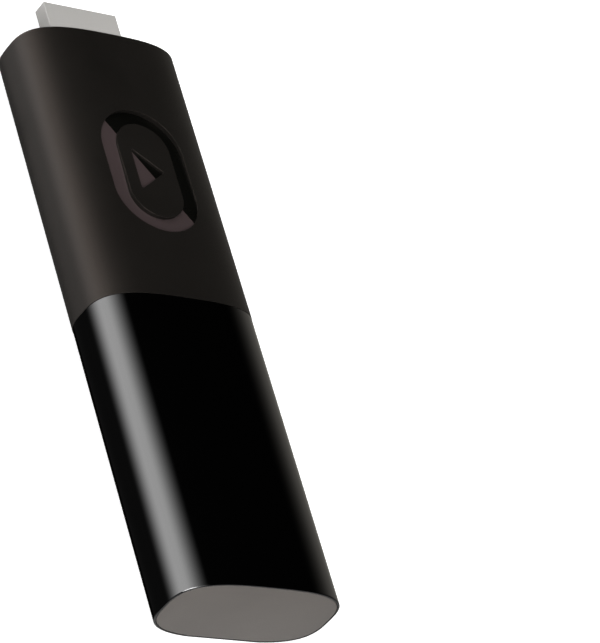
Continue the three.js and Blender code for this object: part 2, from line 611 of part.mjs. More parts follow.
function carrierFrame() {
  const low = -SPREADER_Z;
  const high = SPREADER_Z;
  const rails = [-1, 1].map((side) => {
    const [x0, x1] = side > 0 ? [RAIL_INNER_X, RAIL_OUTER_X] : [-RAIL_OUTER_X, -RAIL_INNER_X];
    return box([x0, CARRIER_LOW_Y, low], [x1, CARRIER_TOP_Y, high]);
  });
  const crossbarTop = CARRIER_LOW_Y + CROSSBAR_LENGTH;
  const crossbar = box([-RAIL_OUTER_X, CARRIER_LOW_Y, low], [RAIL_OUTER_X, crossbarTop, high]);
  const yokeZ = PLUG_HEIGHT / 2 + YOKE_CLEARANCE;
  const yokes = [yokeZ, -yokeZ - YOKE_THICKNESS].map((z0) =>
    box([-RAIL_OUTER_X, CARRIER_TOP_Y - YOKE_LENGTH, z0], [RAIL_OUTER_X, CARRIER_TOP_Y, z0 + YOKE_THICKNESS]),
  );
  const bosses = [-1, 1].map((side) => {
    const inner = side * (RAIL_INNER_X - BOSS_WIDTH);
    const outer = side * (RAIL_INNER_X + RAIL_WIDTH / 2);
    const from = [Math.min(inner, outer), SCREW_Y - BOSS_LENGTH / 2, low];
    return box(from, [Math.max(inner, outer), SCREW_Y + BOSS_LENGTH / 2, -BOARD_FRONT_Z]);
  });
  const slotX = BOARD_HALF_WIDTH + BOARD_CLEARANCE;
  const slotZ = BOARD_FRONT_Z + BOARD_CLEARANCE / 2;
  const boardSlot = box(
    [-slotX, BOARD_LOW_Y - BOARD_CLEARANCE, -slotZ],
    [slotX, BOARD_TOP_Y + BOARD_CLEARANCE, slotZ],
  );
  const usbNotch = box(
    [0, USB_Y - USB_WIDTH / 2 - CARRIER_CLEARANCE, low - WALL],
    [RAIL_OUTER_X + WALL, USB_Y + USB_WIDTH / 2 + CARRIER_CLEARANCE, 0],
  );
  const pipeRoom = PIPE_COLLAR_RADIUS + CARRIER_CLEARANCE;
  const pipeNotch = box(
    [RAIL_INNER_X - WALL, LED_Y - pipeRoom, low - WALL],
    [RAIL_OUTER_X + WALL, LED_Y + pipeRoom, LED_Z + pipeRoom],
  );
  const room = housingBlock(WALL + CARRIER_CLEARANCE, CARRIER_LOW_Y, CARRIER_TOP_Y);
  const frame = join(...rails, crossbar, ...yokes, ...bosses);
  return cut(frame, boardSlot, usbNotch, pipeNotch, ...screwHoles()).intersect(room);
}

function mainBoard() {
  const board = box(
    [-BOARD_HALF_WIDTH, BOARD_LOW_Y, -BOARD_FRONT_Z],
    [BOARD_HALF_WIDTH, BOARD_TOP_Y, BOARD_FRONT_Z],
  );
  return cut(board, ...screwHoles());
}

function boardScrew(x) {
  const headZ = BOARD_FRONT_Z;
  const arm = SCREW_HEAD_RADIUS * 0.65;
  const slotHalf = SCREW_RADIUS * 0.25;
  const slotZ = headZ + SCREW_HEAD_HEIGHT / 2;
  return cut(
    join(
      rodZ(SCREW_HEAD_RADIUS, x, SCREW_Y, headZ, headZ + SCREW_HEAD_HEIGHT),
      rodZ(SCREW_RADIUS, x, SCREW_Y, headZ - SCREW_LENGTH, headZ + SCREW_HEAD_HEIGHT / 2),
    ),
    box([x - arm, SCREW_Y - slotHalf, slotZ], [x + arm, SCREW_Y + slotHalf, FAR]),
    box([x - slotHalf, SCREW_Y - arm, slotZ], [x + slotHalf, SCREW_Y + arm, FAR]),
  );
}

// ---------------------------------------------------------------- shields, pads and heat spreaders
/** The soldered fence that a shield's lid snaps over. side is 1 on the board's front, -1 on its back. */
function shieldFence(startY, length, side) {
  const inset = SHIELD_SHEET + SHIELD_CLEARANCE;
  const half = SHIELD_HALF_WIDTH - inset;
  const y0 = startY - length + inset;
  const y1 = startY - inset;
  const height = SHIELD_HEIGHT - SHIELD_SHEET - SHIELD_FENCE_DROP;
  const outer = chip(0, (y0 + y1) / 2, 2 * half, y1 - y0, height, side * BOARD_FRONT_Z, side);
  const openLength = y1 - y0 - 2 * SHIELD_SHEET;
  return cut(outer, chip(0, (y0 + y1) / 2, 2 * (half - SHIELD_SHEET), openLength, FAR, -FAR / 2));
}

/** A shield's lid: a shallow tray upside down over its fence. */
function shieldLid(startY, length, side) {
  const y = startY - length / 2;
  const fromZ = side * BOARD_FRONT_Z;
  const width = 2 * SHIELD_HALF_WIDTH;
  const thin = 2 * SHIELD_SHEET;
  return cut(
    chip(0, y, width, length, SHIELD_HEIGHT, fromZ, side),
    chip(0, y, width - thin, length - thin, SHIELD_HEIGHT - SHIELD_SHEET, fromZ, side),
  );
}

/** The soft pad between a shield's lid and its heat spreader. */
function outerPad(startY, length, side) {
  const width = 2 * (SHIELD_HALF_WIDTH - PAD_MARGIN);
  const fromZ = side * (BOARD_FRONT_Z + SHIELD_HEIGHT);
  return chip(0, startY - length / 2, width, length - 2 * PAD_MARGIN, PAD_THICKNESS, fromZ, side);
}

/** A heat spreader: a plate on the carrier's rails, with shallow ribs on its outer side. */
function heatSpreader(side) {
  const y1 = BOARD_TOP_Y - SPREADER_START;
  const y = y1 - SPREADER_LENGTH / 2;
  const plate = chip(0, y, 2 * RAIL_OUTER_X, SPREADER_LENGTH, SPREADER_THICKNESS, side * SPREADER_Z, side);
  const ribs = [];
  for (let i = 0; i < SPREADER_FINS; i++) {
    const x = (i - (SPREADER_FINS - 1) / 2) * SPREADER_FIN_PITCH;
    const fromZ = side * (SPREADER_Z + SPREADER_THICKNESS / 2);
    const height = SPREADER_THICKNESS / 2 + SPREADER_FIN_HEIGHT;
    ribs.push(chip(x, y, SPREADER_FIN_WIDTH, SPREADER_LENGTH - 2 * PAD_MARGIN, height, fromZ, side));
  }
  const room = housingBlock(WALL + CARRIER_CLEARANCE, BOTTOM_Y, TOP_Y);
  return join(plate, ...ribs).intersect(room);
}

// ---------------------------------------------------------------- radio
/** A folded metal strip antenna at the cap end of the board, a chain of short arms. */
function antenna(x) {
  const strip = (atX, y, width, length) => chip(atX, y, width, length, ANTENNA_THICKNESS, BOARD_FRONT_Z);
  const arms = [];
  for (let i = 0; i <= ANTENNA_TURNS; i++) {
    const y = BOARD_LOW_Y + CROSSBAR_LENGTH + i * ANTENNA_PITCH;
    arms.push(strip(x, y, ANTENNA_ARM, ANTENNA_STRIP));
    if (i < ANTENNA_TURNS) {
      const endX = x + (i % 2 ? 1 : -1) * (ANTENNA_ARM - ANTENNA_STRIP) / 2;
      arms.push(strip(endX, y + ANTENNA_PITCH / 2, ANTENNA_STRIP, ANTENNA_PITCH));
    }
  }
  return join(...arms);
}

// ---------------------------------------------------------------- assembly
const player = new THREE.Group();
player.name = "streaming_player";
player.position.set(0, -PLUG_REACH / 2, REST_DEPTH);

const add = (name, body, material) => player.add(piece(name, body, material));

add("upper_shell", upperShell(), MATT_BLACK);
add("lower_shell", lowerShell(), GLOSS_BLACK);
add("end_cap", endCap(), CAP_GREY);
add("carrier_frame", carrierFrame(), CARRIER_BLACK);
add("main_board", mainBoard(), BOARD_GREEN);

add("plug_shell", plugShell(), NICKEL);
add("plug_insulator", plugInsulator(), INSULATOR_BLACK);
add("plug_pins_upper", pinRow(UPPER_PINS, 1), GOLD);
add("plug_pins_lower", pinRow(LOWER_PINS, -1), GOLD);

add("power_socket_shell", usbShell(), NICKEL);
add("power_socket_tongue", usbTongue(), INSULATOR_BLACK);
add("power_socket_pins", usbPinRow(0).translate([0, USB_Y, USB_Z]), GOLD);
add("status_led", statusLed(), LED_WHITE);
add("light_pipe", lightPipe(), CLEAR);

const FRONT_SHIELD_Y = BOARD_TOP_Y - FRONT_SHIELD_START;
const BACK_SHIELD_Y = BOARD_TOP_Y - BACK_SHIELD_START;
add("front_shield_fence", shieldFence(FRONT_SHIELD_Y, FRONT_SHIELD_LENGTH, 1), TINNED_STEEL);
add("front_shield_lid", shieldLid(FRONT_SHIELD_Y, FRONT_SHIELD_LENGTH, 1), TINNED_STEEL);
add("back_shield_fence", shieldFence(BACK_SHIELD_Y, BACK_SHIELD_LENGTH, -1), TINNED_STEEL);
add("back_shield_lid", shieldLid(BACK_SHIELD_Y, BACK_SHIELD_LENGTH, -1), TINNED_STEEL);
add("front_thermal_pad", outerPad(FRONT_SHIELD_Y, FRONT_SHIELD_LENGTH, 1), PAD_GREY);
add("back_thermal_pad", outerPad(BACK_SHIELD_Y, BACK_SHIELD_LENGTH, -1), PAD_GREY);
add("front_heat_spreader", heatSpreader(1), ALUMINIUM);
add("back_heat_spreader", heatSpreader(-1), ALUMINIUM);

// Chips: name, X, distance from the board's plug end, width, length, height, side, material
const PROCESSOR_HEIGHT = 0.9;
const BOARD_PARTS = [
  ["processor", 0, 15.5, 13, 13, PROCESSOR_HEIGHT, 1, CHIP_BLACK],
  ["memory_chip_1", -3.5, 27.3, 6.2, 8.6, 0.9, 1, CHIP_BLACK],
  ["memory_chip_2", 3.5, 27.3, 6.2, 8.6, 0.9, 1, CHIP_BLACK],
  ["flash_chip", 0, 14.7, 11.5, 12.6, 1, -1, CHIP_BLACK],
  ["surge_array_1", -2.6, 4.6, 2.5, 1, 0.5, 1, CHIP_BLACK],
  ["surge_array_2", 2.6, 4.6, 2.5, 1, 0.5, 1, CHIP_BLACK],
  ["power_controller", 0, 27.6, 5, 5, 0.85, -1, CHIP_BLACK],
  ["inductor_1", -4.8, 36.2, 4, 4, 1.7, 1, FERRITE],
  ["inductor_2", 0, 36.2, 4, 4, 1.7, 1, FERRITE],
  ["inductor_3", 4.8, 36.2, 4, 4, 1.7, 1, FERRITE],
  ["crystal", -5.6, 26, 3.2, 2.5, 0.7, -1, TINNED_STEEL],
  ["capacitor_1", -4.8, 40.2, 2, 1.25, 1.1, 1, CERAMIC_TAN],
  ["capacitor_2", 0, 40.2, 2, 1.25, 1.1, 1, CERAMIC_TAN],
  ["capacitor_3", 4.8, 40.2, 2, 1.25, 1.1, 1, CERAMIC_TAN],
  ["capacitor_4", -5.6, 29.6, 2, 1.25, 1.1, -1, CERAMIC_TAN],
];
for (const [name, x, fromEnd, width, length, height, side, material] of BOARD_PARTS) {
  add(name, chip(x, BOARD_TOP_Y - fromEnd, width, length, height, side * BOARD_FRONT_Z, side), material);
}

// The pad under the shield's lid fills the room that the processor leaves.
const PROCESSOR_PAD_SIZE = 12;
const PROCESSOR_PAD_HEIGHT = SHIELD_HEIGHT - SHIELD_SHEET - PROCESSOR_HEIGHT;
const processorTop = BOARD_FRONT_Z + PROCESSOR_HEIGHT;
const processorY = BOARD_TOP_Y - BOARD_PARTS[0][2];
add(
  "processor_thermal_pad",
  chip(0, processorY, PROCESSOR_PAD_SIZE, PROCESSOR_PAD_SIZE, PROCESSOR_PAD_HEIGHT, processorTop),
  PAD_GREY,
);

const RADIO_Y = BOARD_LOW_Y + RADIO_FROM_BOARD_END + RADIO_SIZE / 2;
const radioBlock = (size, height, fromZ) => chip(0, RADIO_Y, size, size, height, fromZ);
const RADIO_TOP_Z = BOARD_FRONT_Z + RADIO_BOARD_THICKNESS;
add("radio_module_board", radioBlock(RADIO_SIZE, RADIO_BOARD_THICKNESS, BOARD_FRONT_Z), BOARD_GREEN);
add("radio_module_shield", radioBlock(RADIO_SHIELD_SIZE, RADIO_SHIELD_HEIGHT, RADIO_TOP_Z), TINNED_STEEL);
add("wifi_antenna", antenna(-ANTENNA_OFFSET), GOLD);
add("bluetooth_antenna", antenna(ANTENNA_OFFSET), GOLD);

add("board_screw_1", boardScrew(-SCREW_X), SCREW_STEEL);
add("board_screw_2", boardScrew(SCREW_X), SCREW_STEEL);

export default player;
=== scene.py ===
"""The look of a streaming media stick: housing, plug, power socket and electronics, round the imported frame.

Everything is in metres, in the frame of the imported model: X across the stick, Y along it towards the plug
and Z out of its front. The stick lies on its back on the floor.
"""

from __future__ import annotations

import json
import logging
import math
from collections.abc import Callable, Iterable, Sequence
from dataclasses import dataclass, field
from enum import Enum

import bmesh
import bpy
import numpy as np
from mathutils import Matrix, Vector

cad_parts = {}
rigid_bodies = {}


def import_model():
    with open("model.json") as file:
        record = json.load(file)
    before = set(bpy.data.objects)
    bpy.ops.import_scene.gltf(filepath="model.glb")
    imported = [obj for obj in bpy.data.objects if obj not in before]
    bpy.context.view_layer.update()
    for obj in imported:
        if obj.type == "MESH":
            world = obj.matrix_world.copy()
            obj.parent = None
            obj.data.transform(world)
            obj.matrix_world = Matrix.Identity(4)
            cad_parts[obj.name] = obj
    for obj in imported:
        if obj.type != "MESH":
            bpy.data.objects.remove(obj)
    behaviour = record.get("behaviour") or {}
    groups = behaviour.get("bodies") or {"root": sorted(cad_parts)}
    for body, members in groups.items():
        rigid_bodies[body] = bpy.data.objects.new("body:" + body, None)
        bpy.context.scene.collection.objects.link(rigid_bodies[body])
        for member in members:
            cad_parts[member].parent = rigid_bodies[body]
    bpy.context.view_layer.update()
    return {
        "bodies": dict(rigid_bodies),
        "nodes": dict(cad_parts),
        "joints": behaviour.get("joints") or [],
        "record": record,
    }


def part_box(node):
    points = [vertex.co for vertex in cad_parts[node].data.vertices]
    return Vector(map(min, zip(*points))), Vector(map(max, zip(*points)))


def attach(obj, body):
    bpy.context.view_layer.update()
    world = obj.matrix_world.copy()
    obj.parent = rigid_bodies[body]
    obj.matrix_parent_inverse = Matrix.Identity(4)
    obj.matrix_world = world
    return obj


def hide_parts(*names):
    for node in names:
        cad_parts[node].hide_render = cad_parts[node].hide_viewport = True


LOG = logging.getLogger("stick")
MM = 0.001
SAME_PLACE = 0.0001 * MM  # points closer than this are one point
FLAT_TURN = math.radians(1)  # faces that turn less than this are one flat face
HARD_TURN = math.radians(40)  # edges that turn more than this are rounded
SAME_TILT = 0.0002  # how far the upward part of two equal normals may differ
SAME_SIDE = 0.97  # the least cosine between a face and the skin that it belongs to
SHARPEST = 0.3  # the least cosine that a moved outline's corner is worked out with
ON_OUTLINE = 0.004  # how far the superellipse's sum may be off 1
SAME_HEIGHT = 0.001 * MM  # how far two equal heights may differ
Colour = tuple[float, float, float, float]
Row = tuple[float, float, float]  # a place along the stick, an inset and the flat land's inset
Place = Callable[[float, float, float], tuple[float, float, float]]
Surface = Callable[[float, float], float]


# ------------------------------------------------------------------ mesh helpers
def new_object(name: str, mesh: bpy.types.Mesh) -> bpy.types.Object:
    """Puts a mesh into the scene.

    Args:
        name: The object's name.
        mesh: Its mesh.

    Returns:
        The new object.
    """
    thing = bpy.data.objects.new(name, mesh)
    bpy.context.scene.collection.objects.link(thing)
    return thing


def mesh_from(name: str, points: np.ndarray, faces: Sequence[Sequence[int]]) -> bpy.types.Mesh:
    """Makes a mesh with all its faces turned outward.

    Args:
        name: The mesh's name.
        points: Its corners, one row each.
        faces: Its faces, as indices into the points.

    Returns:
        The mesh.
    """
    mesh = bpy.data.meshes.new(name)
    mesh.from_pydata([tuple(p) for p in points], [], faces)
    work = bmesh.new()
    work.from_mesh(mesh)
    bmesh.ops.recalc_face_normals(work, faces=work.faces)
    work.to_mesh(mesh)
    work.free()
    return mesh


def loft(name: str, rings: Sequence[np.ndarray], closed: bool) -> bpy.types.Mesh:
    """Joins rings of equal length with quads.

    Args:
        name: The mesh's name.
        rings: The rings in order, each an array of points.
        closed: True joins the last ring to the first; False puts a flat face on both ends.

    Returns:
        The closed mesh.
    """
    count = len(rings[0])
    faces: list[Sequence[int]] = []
    last = len(rings) if closed else len(rings) - 1
    for r in range(last):
        a, b = r * count, ((r + 1) % len(rings)) * count
        for i in range(count):
            j = (i + 1) % count
            faces.append((a + i, a + j, b + j, b + i))
    if not closed:
        faces.append(tuple(range(count)))
        faces.append(tuple(range((len(rings) - 1) * count, len(rings) * count)))
    return mesh_from(name, np.concatenate(rings), faces)


def blocks(name: str, boxes: Iterable[tuple[Sequence[float], Sequence[float], float]]) -> bpy.types.Object:
    """Makes one object of boxes with rounded edges.

    Args:
        name: The object's name.
        boxes: For each box its lowest corner, its highest corner and the radius of its edges.

    Returns:
        The object.
    """
    work = bmesh.new()
    for low, high, edge in boxes:
        made = bmesh.ops.create_cube(work, size=1.0)["verts"]
        bmesh.ops.scale(work, vec=Vector(high) - Vector(low), verts=made)
        bmesh.ops.translate(work, vec=(Vector(low) + Vector(high)) / 2, verts=made)
        edges = list({e for v in made for e in v.link_edges})
        bmesh.ops.bevel(work, geom=edges, offset=edge, segments=2, profile=0.5, affect="EDGES")
    mesh = bpy.data.meshes.new(name)
    work.to_mesh(mesh)
    work.free()
    return new_object(name, mesh)


def boolean(target: bpy.types.Object, tool: bpy.types.Object, operation: str = "DIFFERENCE") -> None:
    """Cuts a tool out of a piece, or joins it on, and removes the tool.

    Args:
        target: The piece that changes.
        tool: The closed tool.
        operation: DIFFERENCE or UNION.
    """
    modifier = target.modifiers.new("cut", "BOOLEAN")
    modifier.operation = operation
    modifier.solver = "EXACT"
    modifier.object = tool
    apply_modifiers(target)
    bpy.data.objects.remove(tool, do_unlink=True)


def apply_modifiers(thing: bpy.types.Object) -> None:
    """Replaces a piece's mesh with what its modifiers make of it.

    Args:
        thing: The piece.
    """
    graph = bpy.context.evaluated_depsgraph_get()
    graph.update()
    made = bpy.data.meshes.new_from_object(thing.evaluated_get(graph), depsgraph=graph)
    thing.modifiers.clear()
    thing.data = made


def shade(thing: bpy.types.Object, angle: float) -> None:
    """Shades a piece smooth, apart from its sharp edges.

    Args:
        thing: The piece.
        angle: How far an edge turns, in degrees, before it counts as sharp.
    """
    for polygon in thing.data.polygons:
        polygon.use_smooth = True
    thing.data.set_sharp_from_angle(angle=math.radians(angle))


def softened(node: str, frame: dict, edge: float) -> bpy.types.Object:
    """Makes a detailed piece from a node of the frame, with every hard edge rounded.

    Args:
        node: The node's name.
        edge: The radius of the edges.

    Returns:
        The new piece.
    """
    work = bmesh.new()
    work.from_mesh(frame["nodes"][node].data)
    bmesh.ops.remove_doubles(work, verts=work.verts, dist=SAME_PLACE)
    bmesh.ops.dissolve_limit(work, angle_limit=FLAT_TURN, verts=work.verts, edges=work.edges)
    mesh = bpy.data.meshes.new(f"{node}_piece")
    work.to_mesh(mesh)
    work.free()
    mesh.materials.clear()
    piece = new_object(f"{node}_piece", mesh)
    rounding = piece.modifiers.new("edges", "BEVEL")
    rounding.width = edge
    rounding.segments = 2
    rounding.limit_method = "ANGLE"
    rounding.angle_limit = HARD_TURN
    rounding.miter_outer = "MITER_ARC"
    apply_modifiers(piece)
    shade(piece, 50)
    return piece


def densified(corners: Sequence[tuple[float, float]], radius: float, steps: int = 6) -> np.ndarray:
    """Rounds the corners of a closed outline.

    Args:
        corners: The outline's corners, in order.
        radius: The radius of every corner.
        steps: How many steps each corner takes.

    Returns:
        The rounded outline, one point per row.
    """
    points: list[np.ndarray] = []
    count = len(corners)
    for i in range(count):
        here = np.array(corners[i])
        back = np.array(corners[i - 1]) - here
        ahead = np.array(corners[(i + 1) % count]) - here
        back, ahead = back / np.linalg.norm(back), ahead / np.linalg.norm(ahead)
        half = math.acos(float(np.clip(back @ ahead, -1, 1))) / 2
        reach = radius / math.tan(half)
        centre = here + (back + ahead) / np.linalg.norm(back + ahead) * radius / math.sin(half)
        start = here + back * reach - centre
        end = here + ahead * reach - centre
        turn = math.atan2(start[0] * end[1] - start[1] * end[0], float(start @ end))
        aside = np.array([-start[1], start[0]])
        for k in range(steps + 1):
            a = turn * k / steps
            points.append(centre + start * math.cos(a) + aside * math.sin(a))
    return np.array(points)


def shouldered(width: float, height: float, corner: float) -> list[tuple[float, float]]:
    """The outline of a plug or a socket: a box with its two lower corners cut off.

    Args:
        width: Its width.
        height: Its height.
        corner: How much of each side the cut takes.

    Returns:
        The six corners, centred on zero.
    """
    right, top = width / 2, height / 2
    lower, inner = corner - top, right - corner
    return [(right, top), (-right, top), (-right, lower), (-inner, -top), (inner, -top), (right, lower)]


def pill(width: float, height: float) -> np.ndarray:
    """A long outline with round ends, centred on zero.

    Args:
        width: Its width, and twice the radius of its ends.
        height: Its height over both ends.

    Returns:
        The outline, one point per row.
    """
    radius, straight = width / 2, (height - width) / 2
    turns = np.linspace(0, math.pi, 48)
    upper = np.stack([radius * np.cos(turns), straight + radius * np.sin(turns)], 1)
    return np.concatenate([upper, -upper])


def grown(outline: np.ndarray, by: float) -> np.ndarray:
    """Moves a closed outline outward.

    Args:
        outline: The outline, running anticlockwise.
        by: How far it moves; a negative number moves it inward.

    Returns:
        The moved outline.
    """
    ahead = np.roll(outline, -1, 0) - outline
    ahead /= np.linalg.norm(ahead, axis=1)[:, None] + 1e-12
    mean = ahead + np.roll(ahead, 1, 0)
    mean /= np.linalg.norm(mean, axis=1)[:, None] + 1e-12
    normal = np.stack([mean[:, 1], -mean[:, 0]], 1)
    across = np.clip((mean * ahead).sum(1), SHARPEST, 1)
    return outline + normal * (by / across)[:, None]


# ------------------------------------------------------------------ the housing's section
@dataclass(frozen=True)
class Section:
    """The rounded section that both shells and the end cap follow.

    The outline is a superellipse with a flat land along its back.
    """

    width: float = 30 * MM
    thickness: float = 15 * MM
    power: float = 3.1
    flat_width: float = 14 * MM
    samples: int = 288
    corner_share: float = 1.4

    def half_height(self, x: float) -> float:
        """Half the section's height at a place across it."""
        share = min(1.0, abs(x) / (self.width / 2))
        return self.thickness / 2 * (1 - share**self.power) ** (1 / self.power)

    def half_width(self, z: float) -> float:
        """Half the section's width at a height from its middle."""
        share = min(1.0, abs(z) / (self.thickness / 2))
        return self.width / 2 * (1 - share**self.power) ** (1 / self.power)

    @property
    def rest_depth(self) -> float:
        """How far the flat land lies under the section's middle."""
        return self.half_height(self.flat_width / 2)

    def _angles(self) -> np.ndarray:
        """Spaces sample angles so that they are close together where the outline turns.

        Returns:
            The angles, in order.
        """
        dense = np.linspace(0, 2 * math.pi, 20001)
        c, s = np.cos(dense), np.sin(dense)
        x = self.width / 2 * np.sign(c) * np.abs(c) ** (2 / self.power)
        z = self.thickness / 2 * np.sign(s) * np.abs(s) ** (2 / self.power)
        step = np.hypot(np.diff(x), np.diff(z))
        heading = np.unwrap(np.arctan2(np.diff(z), np.diff(x)))
        turning = np.abs(np.diff(heading, prepend=heading[0]))
        weight = np.cumsum(step / step.sum() + self.corner_share * turning / turning.sum())
        weight = np.concatenate([[0], weight]) / weight[-1]
        wanted = np.linspace(0, 1, self.samples, endpoint=False)
        return np.interp(wanted, weight, dense)

    def outline(self, inset: float, flat_inset: float | None = None) -> np.ndarray:
        """The section's outline.

        Args:
            inset: How far it lies inside the surface.
            flat_inset: The same for the flat land, if that differs.

        Returns:
            Points in X and Z about the section's middle, one per row.
        """
        flat_inset = inset if flat_inset is None else flat_inset
        angles = self._angles()
        c, s = np.cos(angles), np.sin(angles)
        x = (self.width / 2 - inset) * np.sign(c) * np.abs(c) ** (2 / self.power)
        z = (self.thickness / 2 - inset) * np.sign(s) * np.abs(s) ** (2 / self.power)
        return np.stack([x, np.maximum(z, flat_inset - self.rest_depth)], 1)

    def ring(self, y: float, inset: float, flat_inset: float | None = None) -> np.ndarray:
        """The outline as points of the frame at a place along the stick.

        Args:
            y: The place along the stick, in the frame.
            inset: How far the outline lies inside the surface.
            flat_inset: The same for the flat land, if that differs.

        Returns:
            The ring's points, one per row.
        """
        flat = self.outline(inset, flat_inset)
        return np.stack([flat[:, 0], np.full(len(flat), y), flat[:, 1] + self.rest_depth], 1)

    def skin_normal(self, x: float, z: float, inset: float) -> Vector | None:
        """The outline's own normal at a point.

        Args:
            x: The point's place across the section, from its middle.
            z: The point's height, from the section's middle.
            inset: How far the outline lies inside the surface.

        Returns:
            The outward normal, or None for a point off the outline.
        """
        half_w, half_t = self.width / 2 - inset, self.thickness / 2 - inset
        if abs(z + self.rest_depth) < 4 * SAME_HEIGHT and abs(x) < self.flat_width / 2:
            return Vector((0, 0, -1))
        off = (abs(x) / half_w) ** self.power + (abs(z) / half_t) ** self.power - 1
        if abs(off) > ON_OUTLINE:
            return None
        across = math.copysign(abs(x / half_w) ** (self.power - 1) / half_w, x)
        up = math.copysign(abs(z / half_t) ** (self.power - 1) / half_t, z)
        return Vector((across, 0, up)).normalized()


@dataclass(frozen=True)
class Lengths:
    """Places along the stick, worked out from the frame's own boxes."""

    top: float
    seam: float
    bottom: float
    tip: float

    @classmethod
    def measured(cls) -> Lengths:
        """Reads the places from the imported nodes.

        Returns:
            The places.
        """
        upper_low, upper_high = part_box("upper_shell")
        lower_low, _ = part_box("lower_shell")
        _, plug_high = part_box("plug_shell")
        return cls(top=upper_high.y, seam=upper_low.y, bottom=lower_low.y, tip=plug_high.y)


def rounded_rows(y: float, inset: float, radius: float, outward: int, flat: float, steps: int) -> list[Row]:
    """The rows of a rounded end of a tube, from its side to its end.

    Args:
        y: Where the end is.
        inset: The inset of the side.
        radius: The radius of the rounding.
        outward: 1 for an end that faces the plug, -1 for the other way.
        flat: The inset of the flat land along the side.
        steps: How many steps the rounding takes.

    Returns:
        The rows in order.
    """
    rows = []
    for k in range(steps + 1):
        turn = math.pi / 2 * k / steps
        more = radius * (1 - math.cos(turn))
        rows.append((y - outward * radius * (1 - math.sin(turn)), inset + more, flat + more))
    return rows


def tube(name: str, section: Section, rows: Iterable[Row]) -> bpy.types.Object:
    """A closed tube whose wall follows the section.

    Args:
        name: The piece's name.
        section: The housing's section.
        rows: The wall's rows in order.

    Returns:
        The tube.
    """
    rings = [section.ring(y, inset, flat) for y, inset, flat in rows]
    return new_object(name, loft(name, rings, closed=True))


def smooth_skin(thing: bpy.types.Object, section: Section, inset: float) -> None:
    """Shades a shell, giving its outer skin the section's own normals.

    Args:
        thing: The shell.
        section: The housing's section.
        inset: The inset of the shell's outer skin.
    """
    shade(thing, 30)
    mesh = thing.data
    normals = [Vector(c.vector) for c in mesh.corner_normals]
    for polygon in mesh.polygons:
        found = []
        for corner in polygon.loop_indices:
            x, _, z = mesh.vertices[mesh.loops[corner].vertex_index].co
            found.append((corner, section.skin_normal(x, z - section.rest_depth, inset)))
        if all(n is not None and n.dot(polygon.normal) > SAME_SIDE for _, n in found):
            for corner, normal in found:
                normals[corner] = normal
    mesh.normals_split_custom_set(normals)


# ------------------------------------------------------------------ shader building
class Shader:
    """A material or node group being built, with short ways to add and join nodes."""

    def __init__(self, tree: bpy.types.NodeTree) -> None:
        """Starts on a node tree."""
        self.tree = tree

    def node(self, kind: str, **settings: object) -> bpy.types.Node:
        """Adds a node.

        Args:
            kind: The node's type.
            settings: Attributes to set on it.

        Returns:
            The node.
        """
        made = self.tree.nodes.new(kind)
        for key, value in settings.items():
            setattr(made, key, value)
        return made

    def join(self, source: bpy.types.NodeSocket, target: bpy.types.NodeSocket) -> None:
        """Joins two sockets."""
        self.tree.links.new(source, target)

    def feed(self, target: bpy.types.NodeSocket, value: object) -> None:
        """Gives a socket a link or a plain value.

        Args:
            target: The socket.
            value: The link or the value.
        """
        if isinstance(value, bpy.types.NodeSocket):
            self.join(value, target)
        else:
            target.default_value = value

    def math(self, operation: str, a: object, b: object) -> bpy.types.NodeSocket:
        """A sum on two values.

        Args:
            operation: The name of the sum.
            a: The first value or link.
            b: The second value or link.

        Returns:
            The result.
        """
        made = self.node("ShaderNodeMath", operation=operation)
        self.feed(made.inputs[0], a)
        self.feed(made.inputs[1], b)
        return made.outputs[0]

    def ramp(self, value: bpy.types.NodeSocket, low: object, high: object) -> bpy.types.NodeSocket:
        """Stretches a value smoothly onto 0 to 1.

        Args:
            value: The value.
            low: What becomes 0.
            high: What becomes 1.

        Returns:
            The stretched value.
        """
        made = self.node("ShaderNodeMapRange", interpolation_type="SMOOTHSTEP")
        self.join(value, made.inputs["Value"])
        self.feed(made.inputs["From Min"], low)
        self.feed(made.inputs["From Max"], high)
        return made.outputs["Result"]

    def noise(self, where: bpy.types.NodeSocket, scale: object, detail: float) -> bpy.types.NodeSocket:
        """Plain noise.

        Args:
            where: The place it is read at.
            scale: Its scale, in cycles per metre.
            detail: How many finer layers it has.

        Returns:
            The noise, about 0.5.
        """
        made = self.node("ShaderNodeTexNoise")
        self.join(where, made.inputs["Vector"])
        self.feed(made.inputs["Scale"], scale)
        made.inputs["Detail"].default_value = detail
        return made.outputs[0]

    def mix(self, share: object, a: object, b: object) -> bpy.types.NodeSocket:
        """A colour between two colours.

        Args:
            share: How much of the second colour there is.
            a: The first colour.
            b: The second colour.

        Returns:
            The mixed colour.
        """
        made = self.node("ShaderNodeMix", data_type="RGBA")
        self.feed(made.inputs["Factor"], share)
        self.feed(made.inputs[6], a)
        self.feed(made.inputs[7], b)
        return made.outputs[2]

    def blend(self, share: object, a: object, b: object) -> bpy.types.NodeSocket:
        """A number between two numbers.

        Args:
            share: How much of the second number there is.
            a: The first number.
            b: The second number.

        Returns:
            The number between them.
        """
        made = self.node("ShaderNodeMix", data_type="FLOAT")
        self.feed(made.inputs["Factor"], share)
        self.feed(made.inputs[2], a)
        self.feed(made.inputs[3], b)
        return made.outputs[0]

    def object_place(self) -> bpy.types.NodeSocket:
        """Where the shaded point is, in the piece's own frame."""
        return self.node("ShaderNodeTexCoord").outputs["Object"]

    def stretched(self, where: bpy.types.NodeSocket, by: Sequence[float]) -> bpy.types.NodeSocket:
        """A place scaled by its own factor along each axis.

        Args:
            where: The place.
            by: The three factors.

        Returns:
            The scaled place.
        """
        made = self.node("ShaderNodeVectorMath", operation="MULTIPLY")
        self.join(where, made.inputs[0])
        made.inputs[1].default_value = by
        return made.outputs[0]


